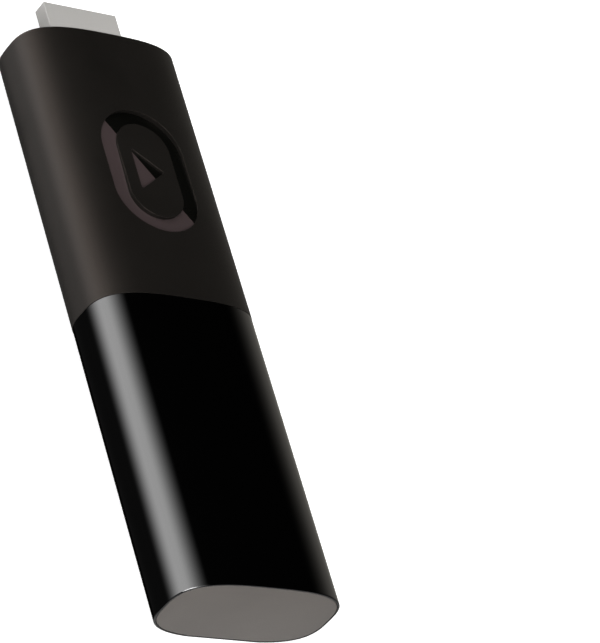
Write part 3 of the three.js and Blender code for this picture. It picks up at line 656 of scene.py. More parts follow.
class Effect(Enum):
    """The effects that several finishes share, each a shader node group."""

    GRAIN = "moulded grain"
    WEAR = "edge wear"
    SMUDGE = "handling marks"
    BRUSH = "drawn lines"
    DUST = "fine dust"


class Effects:
    """Builds each shared effect once and places it in materials."""

    def __init__(self) -> None:
        """Builds every group."""
        self.groups = {
            Effect.GRAIN: self._grain(),
            Effect.WEAR: self._wear(),
            Effect.SMUDGE: self._smudge(),
            Effect.BRUSH: self._brush(),
            Effect.DUST: self._dust(),
        }

    @staticmethod
    def _start(
        effect: Effect, inputs: dict[str, float], outputs: Sequence[str]
    ) -> tuple[Shader, bpy.types.Node, bpy.types.Node]:
        """Opens a group with number sockets.

        Args:
            effect: Which effect the group is.
            inputs: Its inputs and their usual values.
            outputs: Its outputs.

        Returns:
            The shader being built, the group's input node and its output node.
        """
        tree = bpy.data.node_groups.new(effect.value, "ShaderNodeTree")
        for name, value in inputs.items():
            socket = tree.interface.new_socket(name, in_out="INPUT", socket_type="NodeSocketFloat")
            socket.default_value = value
        for name in outputs:
            tree.interface.new_socket(name, in_out="OUTPUT", socket_type="NodeSocketFloat")
        shader = Shader(tree)
        return shader, shader.node("NodeGroupInput"), shader.node("NodeGroupOutput")

    def _grain(self) -> bpy.types.NodeTree:
        """Fine grain of a spark-eroded mould, with a slow drift in tone.

        Returns:
            The group.
        """
        s, given, out = self._start(Effect.GRAIN, {"Scale": 4000.0, "Drift Scale": 60.0}, ["Height", "Drift"])
        place = s.object_place()
        fine = s.noise(place, given.outputs["Scale"], 3.0)
        cells = s.node("ShaderNodeTexVoronoi", feature="SMOOTH_F1")
        s.join(place, cells.inputs["Vector"])
        s.join(given.outputs["Scale"], cells.inputs["Scale"])
        s.join(s.math("ADD", s.math("MULTIPLY", cells.outputs["Distance"], 0.6), fine), out.inputs["Height"])
        s.join(s.noise(place, given.outputs["Drift Scale"], 5.0), out.inputs["Drift"])
        return s.tree

    def _wear(self) -> bpy.types.NodeTree:
        """A mask on convex edges, broken up by noise.

        Returns:
            The group.
        """
        s, given, out = self._start(Effect.WEAR, {"Radius": 0.3 * MM, "Breakup": 900.0}, ["Mask"])
        rounded = s.node("ShaderNodeBevel", samples=4)
        s.join(given.outputs["Radius"], rounded.inputs["Radius"])
        dot = s.node("ShaderNodeVectorMath", operation="DOT_PRODUCT")
        s.join(rounded.outputs["Normal"], dot.inputs[0])
        s.join(s.node("ShaderNodeNewGeometry").outputs["Normal"], dot.inputs[1])
        bent = s.ramp(s.math("SUBTRACT", 1.0, dot.outputs["Value"]), 0.01, 0.2)
        broken = s.ramp(s.noise(s.object_place(), given.outputs["Breakup"], 6.0), 0.42, 0.62)
        s.join(s.math("MULTIPLY", bent, broken), out.inputs["Mask"])
        return s.tree

    def _smudge(self) -> bpy.types.NodeTree:
        """Soft patches where fingers have touched a surface.

        Returns:
            The group.
        """
        s, given, out = self._start(Effect.SMUDGE, {"Scale": 90.0, "Cover": 0.5}, ["Mask"])
        place = s.object_place()
        warp = s.node("ShaderNodeTexNoise")
        s.join(place, warp.inputs["Vector"])
        warp.inputs["Scale"].default_value = 140.0
        bend = s.node("ShaderNodeVectorMath", operation="MULTIPLY_ADD")
        s.join(warp.outputs["Color"], bend.inputs[0])
        bend.inputs[1].default_value = (0.006, 0.006, 0.006)
        s.join(place, bend.inputs[2])
        patches = s.noise(bend.outputs[0], given.outputs["Scale"], 3.0)
        low = s.math("SUBTRACT", 0.75, s.math("MULTIPLY", given.outputs["Cover"], 0.4))
        s.join(s.ramp(patches, low, s.math("ADD", low, 0.22)), out.inputs["Mask"])
        return s.tree

    def _brush(self) -> bpy.types.NodeTree:
        """Fine lines drawn along the stick.

        Returns:
            The group.
        """
        s, given, out = self._start(Effect.BRUSH, {"Scale": 5000.0}, ["Height"])
        lines = s.stretched(s.object_place(), (1.0, 0.02, 1.0))
        s.join(s.noise(lines, given.outputs["Scale"], 4.0), out.inputs["Height"])
        return s.tree

    def _dust(self) -> bpy.types.NodeTree:
        """Scattered fine specks.

        Returns:
            The group.
        """
        s, given, out = self._start(Effect.DUST, {"Scale": 900.0, "Size": 0.08}, ["Mask"])
        specks = s.node("ShaderNodeTexVoronoi", feature="F1")
        s.join(s.object_place(), specks.inputs["Vector"])
        s.join(given.outputs["Scale"], specks.inputs["Scale"])
        near = s.ramp(specks.outputs["Distance"], given.outputs["Size"], 0.0)
        chosen = s.ramp(specks.outputs["Color"], 0.8, 0.9)
        s.join(s.math("MULTIPLY", near, chosen), out.inputs["Mask"])
        return s.tree

    def place(self, shader: Shader, effect: Effect, **values: float) -> bpy.types.Node:
        """Puts an effect into a material.

        Args:
            shader: The material being built.
            effect: Which effect.
            values: Its inputs, with underscores for spaces.

        Returns:
            The group's node.
        """
        made = shader.node("ShaderNodeGroup", node_tree=self.groups[effect])
        for name, value in values.items():
            made.inputs[name.replace("_", " ")].default_value = value
        return made


def colour(red: float, green: float, blue: float) -> Colour:
    """An opaque colour from linear red, green and blue."""
    return (red, green, blue, 1.0)


def scaled(tone: Sequence[float], by: float, more: float = 0.0) -> Colour:
    """A colour whose red, green and blue are multiplied by a factor, with a little added."""
    return colour(*(c * by + more for c in tone[:3]))


def start_material(name: str) -> tuple[bpy.types.Material, Shader, bpy.types.Node]:
    """Opens a material.

    Args:
        name: The material's name.

    Returns:
        The material, its shader being built and its surface node.
    """
    material = bpy.data.materials.new(name)
    material.use_nodes = True
    shader = Shader(material.node_tree)
    return material, shader, material.node_tree.nodes["Principled BSDF"]


def bump(
    shader: Shader, surface: bpy.types.Node, height: bpy.types.NodeSocket, strength: float, depth: float
) -> None:
    """Roughens a surface with a height.

    Args:
        shader: The material being built.
        surface: Its surface node.
        height: The height, from 0 to 1.
        strength: How strong the effect is.
        depth: How deep the height goes, in metres.
    """
    made = shader.node("ShaderNodeBump")
    made.inputs["Strength"].default_value = strength
    made.inputs["Distance"].default_value = depth
    shader.join(height, made.inputs["Height"])
    shader.join(made.outputs["Normal"], surface.inputs["Normal"])


@dataclass(frozen=True)
class MouldedFinish:
    """Matt moulded plastic and other dull, dense materials."""

    name: str
    tone: Colour
    worn_tone: Colour
    roughness: float = 0.5
    grain: float = 5200.0
    grain_depth: float = 0.012 * MM
    specular: float = 0.5
    sheen_tint: Colour = (1.0, 1.0, 1.0, 1.0)
    drift: float = 0.18
    wear_radius: float = 0.2 * MM

    def material(self, effects: Effects) -> bpy.types.Material:
        """Builds the material.

        Args:
            effects: The shared effects.

        Returns:
            The material.
        """
        material, s, surface = start_material(self.name)
        grain = effects.place(s, Effect.GRAIN, Scale=self.grain, Drift_Scale=70.0)
        wear = effects.place(s, Effect.WEAR, Radius=self.wear_radius, Breakup=1500.0)
        smudge = effects.place(s, Effect.SMUDGE, Scale=75.0, Cover=0.45)
        dust = effects.place(s, Effect.DUST, Scale=1100.0, Size=0.1)
        dark, light = scaled(self.tone, 1 - self.drift), scaled(self.tone, 1 + self.drift)
        tone = s.mix(s.ramp(grain.outputs["Drift"], 0.3, 0.7), dark, light)
        tone = s.mix(s.math("MULTIPLY", wear.outputs["Mask"], 0.5), tone, self.worn_tone)
        tone = s.mix(s.math("MULTIPLY", dust.outputs["Mask"], 0.25), tone, self.worn_tone)
        s.join(tone, surface.inputs["Base Color"])
        raised = s.ramp(grain.outputs["Height"], 0.3, 1.1)
        rough = s.blend(raised, self.roughness - 0.04, self.roughness + 0.05)
        rough = s.blend(s.math("MULTIPLY", smudge.outputs["Mask"], 0.5), rough, self.roughness - 0.1)
        s.join(rough, surface.inputs["Roughness"])
        surface.inputs["Specular IOR Level"].default_value = self.specular
        surface.inputs["Specular Tint"].default_value = self.sheen_tint
        bump(s, surface, grain.outputs["Height"], 0.6, self.grain_depth)
        return material


@dataclass(frozen=True)
class PolishedFinish:
    """High-gloss moulded plastic with faint handling marks."""

    name: str
    tone: Colour
    roughness: float = 0.07
    marked_roughness: float = 0.16
    specular: float = 0.5

    def material(self, effects: Effects) -> bpy.types.Material:
        """Builds the material.

        Args:
            effects: The shared effects.

        Returns:
            The material.
        """
        material, s, surface = start_material(self.name)
        grain = effects.place(s, Effect.GRAIN, Scale=700.0, Drift_Scale=120.0)
        smudge = effects.place(s, Effect.SMUDGE, Scale=80.0, Cover=0.35)
        dust = effects.place(s, Effect.DUST, Scale=700.0, Size=0.06)
        dusty = scaled(self.tone, 1.6, 0.0006)
        tone = s.mix(s.math("MULTIPLY", dust.outputs["Mask"], 0.5), self.tone, dusty)
        s.join(tone, surface.inputs["Base Color"])
        rough = s.blend(smudge.outputs["Mask"], self.roughness, self.marked_roughness)
        rough = s.blend(s.math("MULTIPLY", dust.outputs["Mask"], 0.6), rough, 0.5)
        s.join(rough, surface.inputs["Roughness"])
        surface.inputs["Specular IOR Level"].default_value = self.specular
        bump(s, surface, grain.outputs["Height"], 0.15, 0.001 * MM)
        return material


@dataclass(frozen=True)
class PlatedFinish:
    """Plated or bare sheet metal with fine drawn lines."""

    name: str
    tone: Colour
    shadow_tone: Colour
    roughness: float = 0.35
    metallic: float = 1.0
    line_scale: float = 5000.0
    line_contrast: float = 0.6
    smudge_scale: float = 260.0

    def material(self, effects: Effects) -> bpy.types.Material:
        """Builds the material.

        Args:
            effects: The shared effects.

        Returns:
            The material.
        """
        material, s, surface = start_material(self.name)
        lines = effects.place(s, Effect.BRUSH, Scale=self.line_scale)
        smudge = effects.place(s, Effect.SMUDGE, Scale=self.smudge_scale, Cover=0.5)
        wear = effects.place(s, Effect.WEAR, Radius=0.15 * MM, Breakup=2500.0)
        drawn = s.ramp(lines.outputs["Height"], 0.3, 0.7)
        tone = s.mix(s.math("MULTIPLY", drawn, self.line_contrast), self.shadow_tone, self.tone)
        tone = s.mix(s.math("MULTIPLY", smudge.outputs["Mask"], 0.5), tone, self.shadow_tone)
        s.join(tone, surface.inputs["Base Color"])
        spread = 0.1 * self.line_contrast
        rough = s.blend(drawn, self.roughness - spread, self.roughness + spread)
        rough = s.blend(s.math("MULTIPLY", wear.outputs["Mask"], 0.5), rough, self.roughness * 0.6)
        rough = s.blend(s.math("MULTIPLY", smudge.outputs["Mask"], 0.3), rough, self.roughness + 0.12)
        s.join(rough, surface.inputs["Roughness"])
        surface.inputs["Metallic"].default_value = self.metallic
        bump(s, surface, lines.outputs["Height"], 0.4 * self.line_contrast, 0.004 * MM)
        return material


@dataclass(frozen=True)
class BoardFinish:
    """Circuit board laminate: solder mask over fine copper tracks, with tinned dots."""

    name: str
    mask_tone: Colour
    track_tone: Colour
    dot_tone: Colour

    def material(self, effects: Effects) -> bpy.types.Material:
        """Builds the material.

        Args:
            effects: The shared effects.

        Returns:
            The material.
        """
        material, s, surface = start_material(self.name)
        place = s.object_place()
        bricks = s.node("ShaderNodeTexBrick")
        s.join(place, bricks.inputs["Vector"])
        bricks.inputs["Scale"].default_value = 700.0
        bricks.inputs["Mortar Size"].default_value = 0.035
        bricks.inputs["Brick Width"].default_value = 1.7
        bricks.inputs["Row Height"].default_value = 0.45
        patches = s.ramp(s.noise(place, 220.0, 1.0), 0.48, 0.54)
        tracks = s.math("MULTIPLY", bricks.outputs["Fac"], patches)
        holes = s.node("ShaderNodeTexVoronoi", feature="F1")
        s.join(place, holes.inputs["Vector"])
        holes.inputs["Scale"].default_value = 420.0
        holes.inputs["Randomness"].default_value = 0.75
        dots = s.ramp(holes.outputs["Distance"], 0.16, 0.1)
        dots = s.math("MULTIPLY", dots, s.ramp(s.noise(place, 90.0, 1.0), 0.5, 0.6))
        grain = effects.place(s, Effect.GRAIN, Scale=2500.0, Drift_Scale=150.0)
        tone = s.mix(grain.outputs["Drift"], scaled(self.mask_tone, 0.75), self.mask_tone)
        tone = s.mix(tracks, tone, self.track_tone)
        s.join(s.mix(dots, tone, self.dot_tone), surface.inputs["Base Color"])
        s.join(s.blend(dots, 0.42, 0.25), surface.inputs["Roughness"])
        s.join(dots, surface.inputs["Metallic"])
        height = s.math("ADD", tracks, s.math("MULTIPLY", grain.outputs["Height"], 0.1))
        bump(s, surface, height, 0.4, 0.02 * MM)
        return material


@dataclass(frozen=True)
class ClearFinish:
    """Clear moulded plastic."""

    name: str
    tone: Colour
    roughness: float = 0.12

    def material(self, effects: Effects) -> bpy.types.Material:
        """Builds the material.

        Args:
            effects: The shared effects.

        Returns:
            The material.
        """
        material, s, surface = start_material(self.name)
        grain = effects.place(s, Effect.GRAIN, Scale=2600.0, Drift_Scale=500.0)
        drift = grain.outputs["Drift"]
        s.join(s.mix(drift, scaled(self.tone, 0.9), self.tone), surface.inputs["Base Color"])
        s.join(s.blend(drift, self.roughness, self.roughness + 0.1), surface.inputs["Roughness"])
        surface.inputs["Transmission Weight"].default_value = 0.85
        surface.inputs["IOR"].default_value = 1.49
        bump(s, surface, grain.outputs["Height"], 0.1, 0.002 * MM)
        return material


class Finishes:
    """Every finish of the stick, built once."""

    def __init__(self) -> None:
        """Builds the shared effects and every material."""
        effects = Effects()
        kinds = {
            "matt_shell": MouldedFinish(
                "matt shell", colour(0.0049, 0.0047, 0.0042), colour(0.03, 0.028, 0.026),
                roughness=0.51, specular=0.41, sheen_tint=colour(1.0, 0.83, 0.73)),
            # The emblem's two slopes are one plastic. The first gets a lighter tone as painted light. The
            # second gets a darker tone and weaker specular as painted shade. Both come on top of the slopes'
            # real tilt.
            "emblem_painted_lit_slope": MouldedFinish(
                "emblem slope with painted light", colour(0.055, 0.0395, 0.04), colour(0.06, 0.057, 0.054),
                roughness=0.42, grain=7000.0, grain_depth=0.006 * MM, drift=0.08),
            "emblem_painted_shaded_slope": MouldedFinish(
                "emblem slope with painted shade", colour(0.0025, 0.0025, 0.002), colour(0.01, 0.0095, 0.009),
                roughness=0.3, grain=7000.0, grain_depth=0.004 * MM, drift=0.08, specular=0.12),
            "gloss_shell": PolishedFinish("gloss shell", colour(0.00015, 0.00015, 0.00015)),
            "end_cap": MouldedFinish(
                "end cap", colour(0.152, 0.136, 0.123), colour(0.2, 0.19, 0.18),
                roughness=0.45, grain=6500.0, grain_depth=0.008 * MM, drift=0.06),
            "plug_metal": PlatedFinish(
                "plug metal", colour(0.47, 0.46, 0.45), colour(0.37, 0.36, 0.345),
                roughness=0.45, metallic=0.3, line_contrast=0.05, smudge_scale=110.0),
            "carrier": MouldedFinish("carrier", colour(0.02, 0.02, 0.02), colour(0.06, 0.06, 0.06)),
            "board": BoardFinish(
                "board", colour(0.006, 0.045, 0.024), colour(0.015, 0.09, 0.045), colour(0.62, 0.6, 0.55)),
            "shield_metal": PlatedFinish("shield metal", colour(0.66, 0.66, 0.65), colour(0.5, 0.5, 0.49)),
            "contact_gold": PlatedFinish(
                "contact gold", colour(0.8, 0.52, 0.19), colour(0.62, 0.38, 0.12), roughness=0.25),
            "insulator": MouldedFinish(
                "insulator", colour(0.012, 0.012, 0.012), colour(0.03, 0.03, 0.03), roughness=0.45),
            "chip": MouldedFinish(
                "chip epoxy", colour(0.016, 0.0165, 0.018), colour(0.05, 0.05, 0.052),
                roughness=0.55, grain=9000.0),
            "spreader": PlatedFinish(
                "spreader aluminium", colour(0.7, 0.71, 0.73), colour(0.52, 0.53, 0.55), roughness=0.45),
            "thermal_pad": MouldedFinish(
                "thermal pad", colour(0.28, 0.33, 0.38), colour(0.36, 0.41, 0.46),
                roughness=0.8, grain=2600.0, grain_depth=0.03 * MM),
            "ferrite": MouldedFinish(
                "ferrite", colour(0.045, 0.045, 0.048), colour(0.1, 0.1, 0.1), roughness=0.65, grain=7000.0),
            "ceramic": MouldedFinish(
                "ceramic", colour(0.4, 0.28, 0.15), colour(0.6, 0.55, 0.45), roughness=0.4),
            "clear_plastic": ClearFinish("clear plastic", colour(0.94, 0.95, 0.95)),
            "led": MouldedFinish(
                "light lens", colour(0.82, 0.78, 0.6), colour(0.9, 0.88, 0.8), roughness=0.35),
            "screw": PlatedFinish(
                "screw steel", colour(0.5, 0.5, 0.51), colour(0.34, 0.34, 0.35), roughness=0.3),
        }
        self.made = {slot: finish.material(effects) for slot, finish in kinds.items()}

    def dress(self, piece: bpy.types.Object, slot: str, *more: str) -> None:
        """Gives a piece its finish.

        Args:
            piece: The piece.
            slot: The record's slot, and the first material.
            more: Further materials, for faces that have another finish, such as the emblem's slopes with
                painted light and painted shade.
        """
        piece.data.materials.clear()
        for name in (slot, *more):
            piece.data.materials.append(self.made[name])


@dataclass
class Bench:
    """What every sub-assembly needs: the frame, the section, the lengths and the finishes."""

    frame: dict
    section: Section
    along: Lengths
    finishes: Finishes

    def finish_piece(self, piece: bpy.types.Object, slot: str, nodes: Sequence[str], *more: str) -> None:
        """Dresses a piece, ties it to the frame and reports it.

        Args:
            piece: The piece.
            slot: The record's slot.
            nodes: The nodes that it stands for.
            more: Further materials.
        """
        self.finishes.dress(piece, slot, *more)
        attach(piece, "root")
        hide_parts(*nodes)
        LOG.info("%s: %d faces, %s", piece.name, len(piece.data.polygons), slot)


# ------------------------------------------------------------------ housing
def cutter(
    name: str, outlines: Sequence[np.ndarray], place: Place, reach: float, surface: Surface, chamfer: float
) -> bpy.types.Object:
    """A tool that cuts a straight-sided hole and chamfers its edge.

    Args:
        name: The tool's name.
        outlines: One closed outline for a hole, or an outer and an inner one for a ring.
        place: Turns two places on the surface and a height into a point of the frame.
        reach: How far under the surface's highest point the tool starts.
        surface: The surface's height at two places on it.
        chamfer: The size of the chamfer, which grows outward, or inward on a ring's inner outline.

    Returns:
        The tool.
    """
    rings = []
    for outline, sign in zip(outlines, (1, -1)):
        low = [place(u, v, -reach) for u, v in outline]
        edge = [place(u, v, surface(u, v) - chamfer) for u, v in outline]
        wide = grown(outline, sign * 2 * chamfer)
        top = [place(u, v, surface(a, b) + chamfer) for (u, v), (a, b) in zip(wide, outline, strict=True)]
        column = [np.array(low), np.array(edge), np.array(top)]
        rings.extend(column[::sign])
    return new_object(name, loft(name, rings, closed=len(outlines) == 2))


@dataclass
class UpperShell:
    """The matt half of the housing, with the emblem, the plug's mouth and the side openings."""

    bench: Bench
    wall: float = 1.6 * MM
    end_wall: float = 1.8 * MM
    end_round: float = 0.5 * MM
    lip_inset: float = 0.85 * MM
    lip_length: float = 3.1 * MM
    seam_edge: float = 0.03 * MM
    mouth_gap: float = 0.25 * MM
    mouth_chamfer: float = 0.12 * MM
    emblem_width: float = 15.2 * MM
    emblem_height: float = 23.6 * MM
    emblem_from_end: float = 27.7 * MM
    emblem_stroke: float = 2.7 * MM
    arrow_width: float = 5.2 * MM
    arrow_height: float = 8 * MM
    arrow_corner: float = 0.25 * MM
    emblem_depth: float = 0.35 * MM
    emblem_slope: float = math.radians(3.2)
    emblem_chamfer: float = 0.03 * MM
    socket_gap: float = 0.3 * MM
    socket_cut: float = 0.8 * MM
    socket_corner: float = 0.25 * MM
    socket_chamfer: float = 0.15 * MM
    pipe_radius: float = 0.7 * MM
    pipe_gap: float = 0.1 * MM
    pipe_chamfer: float = 0.1 * MM

    @property
    def emblem_y(self) -> float:
        """The emblem's middle along the stick."""
        return self.bench.along.top - self.emblem_from_end

    @property
    def crown(self) -> float:
        """The height of the front's highest line."""
        return self.bench.section.rest_depth + self.bench.section.thickness / 2

    @property
    def emblem_turn(self) -> float:
        """How far the ridge between the emblem's slopes is turned from the stick's length."""
        return math.atan2(self.emblem_width, self.emblem_height)

    def mouth_ring(self, y: float, gap: float) -> np.ndarray:
        """The plug's opening, with one point for each point of the section.

        Args:
            y: The place along the stick.
            gap: The clearance round the plug.

        Returns:
            The ring's points.
        """
        section = self.bench.section
        outline = VideoPlug.outline(-gap)
        angles = np.arctan2(outline[:, 1], outline[:, 0])
        order = np.argsort(angles)
        outline, angles = outline[order], angles[order]
        flat = section.outline(self.end_round)
        wanted = np.arctan2(flat[:, 1], flat[:, 0] * section.thickness / section.width)
        whole = np.concatenate([angles - 2 * math.pi, angles, angles + 2 * math.pi])
        x = np.interp(wanted, whole, np.tile(outline[:, 0], 3))
        z = np.interp(wanted, whole, np.tile(outline[:, 1], 3))
        return np.stack([x, np.full(len(x), y), z + section.rest_depth], 1)

    def shell(self) -> bpy.types.Object:
        """Builds the bare shell.

        Returns:
            The shell, without its openings.
        """
        section, along = self.bench.section, self.bench.along
        edge = self.seam_edge
        rows: list[Row] = rounded_rows(along.seam, 0.0, edge, -1, 0.0, 3)[::-1]
        middle = np.linspace(along.seam + edge, along.top - self.end_round, 26)[1:-1]
        rows += [(float(y), 0.0, 0.0) for y in middle]
        rows += rounded_rows(along.top, 0.0, self.end_round, 1, 0.0, 8)
        rings = [section.ring(*row) for row in rows]
        inner_y = along.top - self.end_wall
        rings.append(self.mouth_ring(along.top, self.mouth_gap + self.mouth_chamfer))
        rings.append(self.mouth_ring(along.top - self.mouth_chamfer, self.mouth_gap))
        rings.append(self.mouth_ring(inner_y, self.mouth_gap))
        step_y = along.seam + self.lip_length
        inside: list[Row] = [
            (inner_y, self.wall, self.wall),
            (step_y, self.wall, self.wall),
            (step_y, self.lip_inset, self.lip_inset),
            (along.seam, self.lip_inset, self.lip_inset),
        ]
        rings += [section.ring(*row) for row in inside]
        return new_object("upper_shell_piece", loft("upper_shell_piece", rings, closed=True))

    def emblem_tool(self) -> list[bpy.types.Object]:
        """Builds the tools that cut the emblem: a long ring and the arrow head inside it.

        Returns:
            The two tools.
        """
        section = self.bench.section

        def place(u: float, v: float, h: float) -> tuple[float, float, float]:
            """A point of the front."""
            return (u, self.emblem_y + v, self.crown + h)

        def surface(u: float, _v: float) -> float:
            """The front's height against its crown."""
            return section.half_height(u) - section.thickness / 2

        outer = pill(self.emblem_width, self.emblem_height)
        inner = pill(self.emblem_width - 2 * self.emblem_stroke, self.emblem_height - 2 * self.emblem_stroke)
        half_w, half_h = self.arrow_width / 2, self.arrow_height / 2
        arrow = densified([(-half_w, -half_h), (half_w, 0), (-half_w, half_h)], self.arrow_corner)
        tools = [
            cutter("emblem ring", [outer, inner], place, self.wall, surface, self.emblem_chamfer),
            cutter("emblem arrow", [arrow], place, self.wall, surface, self.emblem_chamfer),
        ]
        for tool in tools:
            boolean(tool, self.roof())
        return tools

    def roof(self) -> bpy.types.Object:
        """Builds the two slopes of the emblem's floor as a low roof, with its ridge on the emblem's diagonal.

        Returns:
            The roof.
        """
        reach = self.emblem_height
        fall = reach * math.tan(self.emblem_slope)
        base = -fall - self.wall
        profile = [(-reach, base), (reach, base), (reach, -fall), (0, 0), (-reach, -fall)]
        rings = [np.array([(x, y, z) for x, z in profile]) for y in (-reach, reach)]
        roof = new_object("emblem roof", loft("emblem roof", rings, closed=False))
        ridge = Matrix.Translation((0, self.emblem_y, self.crown - self.emblem_depth))
        roof.data.transform(ridge @ Matrix.Rotation(self.emblem_turn, 4, "Z"))
        return roof

    def side_tools(self) -> list[bpy.types.Object]:
        """Builds the tools that cut the power socket's opening and the light's hole.

        Returns:
            The two tools.
        """
        section = self.bench.section
        turns = np.linspace(0, 2 * math.pi, 40, endpoint=False)
        hole = (self.pipe_radius + self.pipe_gap) * np.stack([np.cos(turns), np.sin(turns)], 1)
        low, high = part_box("power_socket_shell")
        cut = self.socket_cut + self.socket_gap * (2 - math.sqrt(2))
        mouth = shouldered(high.y - low.y + 2 * self.socket_gap, high.z - low.z + 2 * self.socket_gap, cut)
        openings = [
            ("socket mouth", "power_socket_shell", densified(mouth, self.socket_corner), self.socket_chamfer),
            ("light hole", "light_pipe", hole, self.pipe_chamfer),
        ]
        tools = []
        for name, node, outline, chamfer in openings:
            low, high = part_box(node)
            middle = (low + high) / 2

            def place(u: float, v: float, h: float, middle: Vector = middle) -> tuple[float, float, float]:
                """A point of the side, counted from the opening's middle."""
                return (section.width / 2 + h, middle.y + u, middle.z + v)

            def surface(_u: float, v: float, middle: Vector = middle) -> float:
                """The side's height against its widest line."""
                return section.half_width(middle.z - section.rest_depth + v) - section.width / 2

            tools.append(cutter(name, [outline], place, 3 * self.wall, surface, chamfer))
        return tools

    def is_emblem_floor(self, polygon: bpy.types.MeshPolygon) -> bool:
        """Finds out whether a face lies on one of the emblem's slopes.

        Args:
            polygon: The face.

        Returns:
            True for a face of the emblem's floor.
        """
        x, y, z = polygon.center
        inside = abs(x) < self.emblem_width / 2 and abs(y - self.emblem_y) < self.emblem_height / 2
        tilted = abs(polygon.normal.z - math.cos(self.emblem_slope)) < SAME_TILT
        return inside and tilted and self.crown - self.wall < z < self.crown - self.emblem_depth + SAME_HEIGHT

    def build(self) -> None:
        """Builds and dresses the shell."""
        shell = self.shell()
        for tool in (*self.emblem_tool(), *self.side_tools()):
            boolean(shell, tool)
        smooth_skin(shell, self.bench.section, 0.0)
        self.bench.finish_piece(shell, "matt_shell", ["upper_shell"], "emblem_painted_lit_slope", "emblem_painted_shaded_slope")
        # Faces on one side of the ridge get the slope material with painted light. Those on the other side
        # get the one with painted shade.
        across = Vector((math.cos(self.emblem_turn), math.sin(self.emblem_turn), 0))
        for polygon in filter(self.is_emblem_floor, shell.data.polygons):
            side = (polygon.center - Vector((0, self.emblem_y, 0))).dot(across)
            polygon.material_index = 1 if side < 0 else 2


@dataclass
class LowerShell:
    """The gloss half of the housing, with the tongue that slides into the matt half."""

    bench: Bench
    wall: float = 1.6 * MM
    inset: float = 0.05 * MM
    seam_round: float = 0.1 * MM
    end_round: float = 0.15 * MM
    lip_inset: float = 0.95 * MM
    lip_length: float = 3 * MM
    lip_lead: float = 0.25 * MM
    cap_rim: float = 0.3 * MM
    cap_thickness: float = 1.4 * MM

    def build(self) -> None:
        """Builds and dresses the shell."""
        along = self.bench.along
        seam_rows = rounded_rows(along.seam, self.inset, self.seam_round, 1, 0.0, 6)
        end_rows = rounded_rows(along.bottom, self.inset, self.end_round, -1, 0.0, 8)[::-1]
        middle = np.linspace(along.bottom + self.end_round, along.seam - self.seam_round, 26)[1:-1]
        rim = self.inset + self.cap_rim
        lip_top = along.seam + self.lip_length
        rows: list[Row] = [(along.bottom, rim, rim), *end_rows]
        rows += [(float(y), self.inset, 0.0) for y in middle]
        rows += seam_rows
        rows += [
            (along.seam, self.lip_inset, self.lip_inset),
            (lip_top - self.lip_lead, self.lip_inset, self.lip_inset),
            (lip_top, self.lip_inset + self.lip_lead, self.lip_inset + self.lip_lead),
            (lip_top, self.wall, self.wall),
            (along.bottom + self.cap_thickness, self.wall, self.wall),
            (along.bottom + self.cap_thickness, rim, rim),
        ]
        shell = tube("lower_shell_piece", self.bench.section, rows)
        smooth_skin(shell, self.bench.section, self.inset)
        self.bench.finish_piece(shell, "gloss_shell", ["lower_shell"])


@dataclass
class EndCap:
    """The flat grey plate in the housing's end, with its four snap legs."""

    bench: Bench
    inset: float = 0.45 * MM
    flat_inset: float = 0.38 * MM
    thickness: float = 1.4 * MM
    edge: float = 0.06 * MM
    leg_x: float = 5 * MM
    leg_width: float = 4 * MM
    leg_length: float = 4.5 * MM
    leg_thickness: float = 0.9 * MM
    leg_reach: float = 5.5 * MM
    leg_edge: float = 0.12 * MM
    hook_height: float = 0.35 * MM
    hook_root: float = 0.1 * MM
    hook_length: float = 0.8 * MM
    hook_edge: float = 0.08 * MM

    def legs(self, back: float) -> list[tuple[Sequence[float], Sequence[float], float]]:
        """Lays out the four legs and the hook on each.

        Args:
            back: The place of the plate's inner face.

        Returns:
            For each block its lowest corner, its highest corner and the radius of its edges.
        """
        boxes = []
        middle, end = self.bench.section.rest_depth, back + self.leg_length
        for side in (-1, 1):
            leg = sorted(middle + side * v for v in (self.leg_reach, self.leg_reach - self.leg_thickness))
            hook = sorted(middle + side * (self.leg_reach + v) for v in (self.hook_height, -self.hook_root))
            for x in (-self.leg_x, self.leg_x):
                left, right = x - self.leg_width / 2, x + self.leg_width / 2
                boxes.append(((left, back - self.thickness / 2, leg[0]), (right, end, leg[1]), self.leg_edge))
                boxes.append(((left, end - self.hook_length, hook[0]), (right, end, hook[1]), self.hook_edge))
        return boxes

    def build(self) -> None:
        """Builds and dresses the cap."""
        section, along = self.bench.section, self.bench.along
        back = along.bottom + self.thickness
        rows = rounded_rows(along.bottom, self.inset, self.edge, -1, self.flat_inset, 4)
        rings = [section.ring(back, self.inset, self.flat_inset)] + [section.ring(*row) for row in rows]
        cap = new_object("end_cap_piece", loft("end_cap_piece", rings, closed=False))
        boolean(cap, blocks("legs", self.legs(back)), "UNION")
        shade(cap, 30)
        self.bench.finish_piece(cap, "end_cap", ["end_cap"])


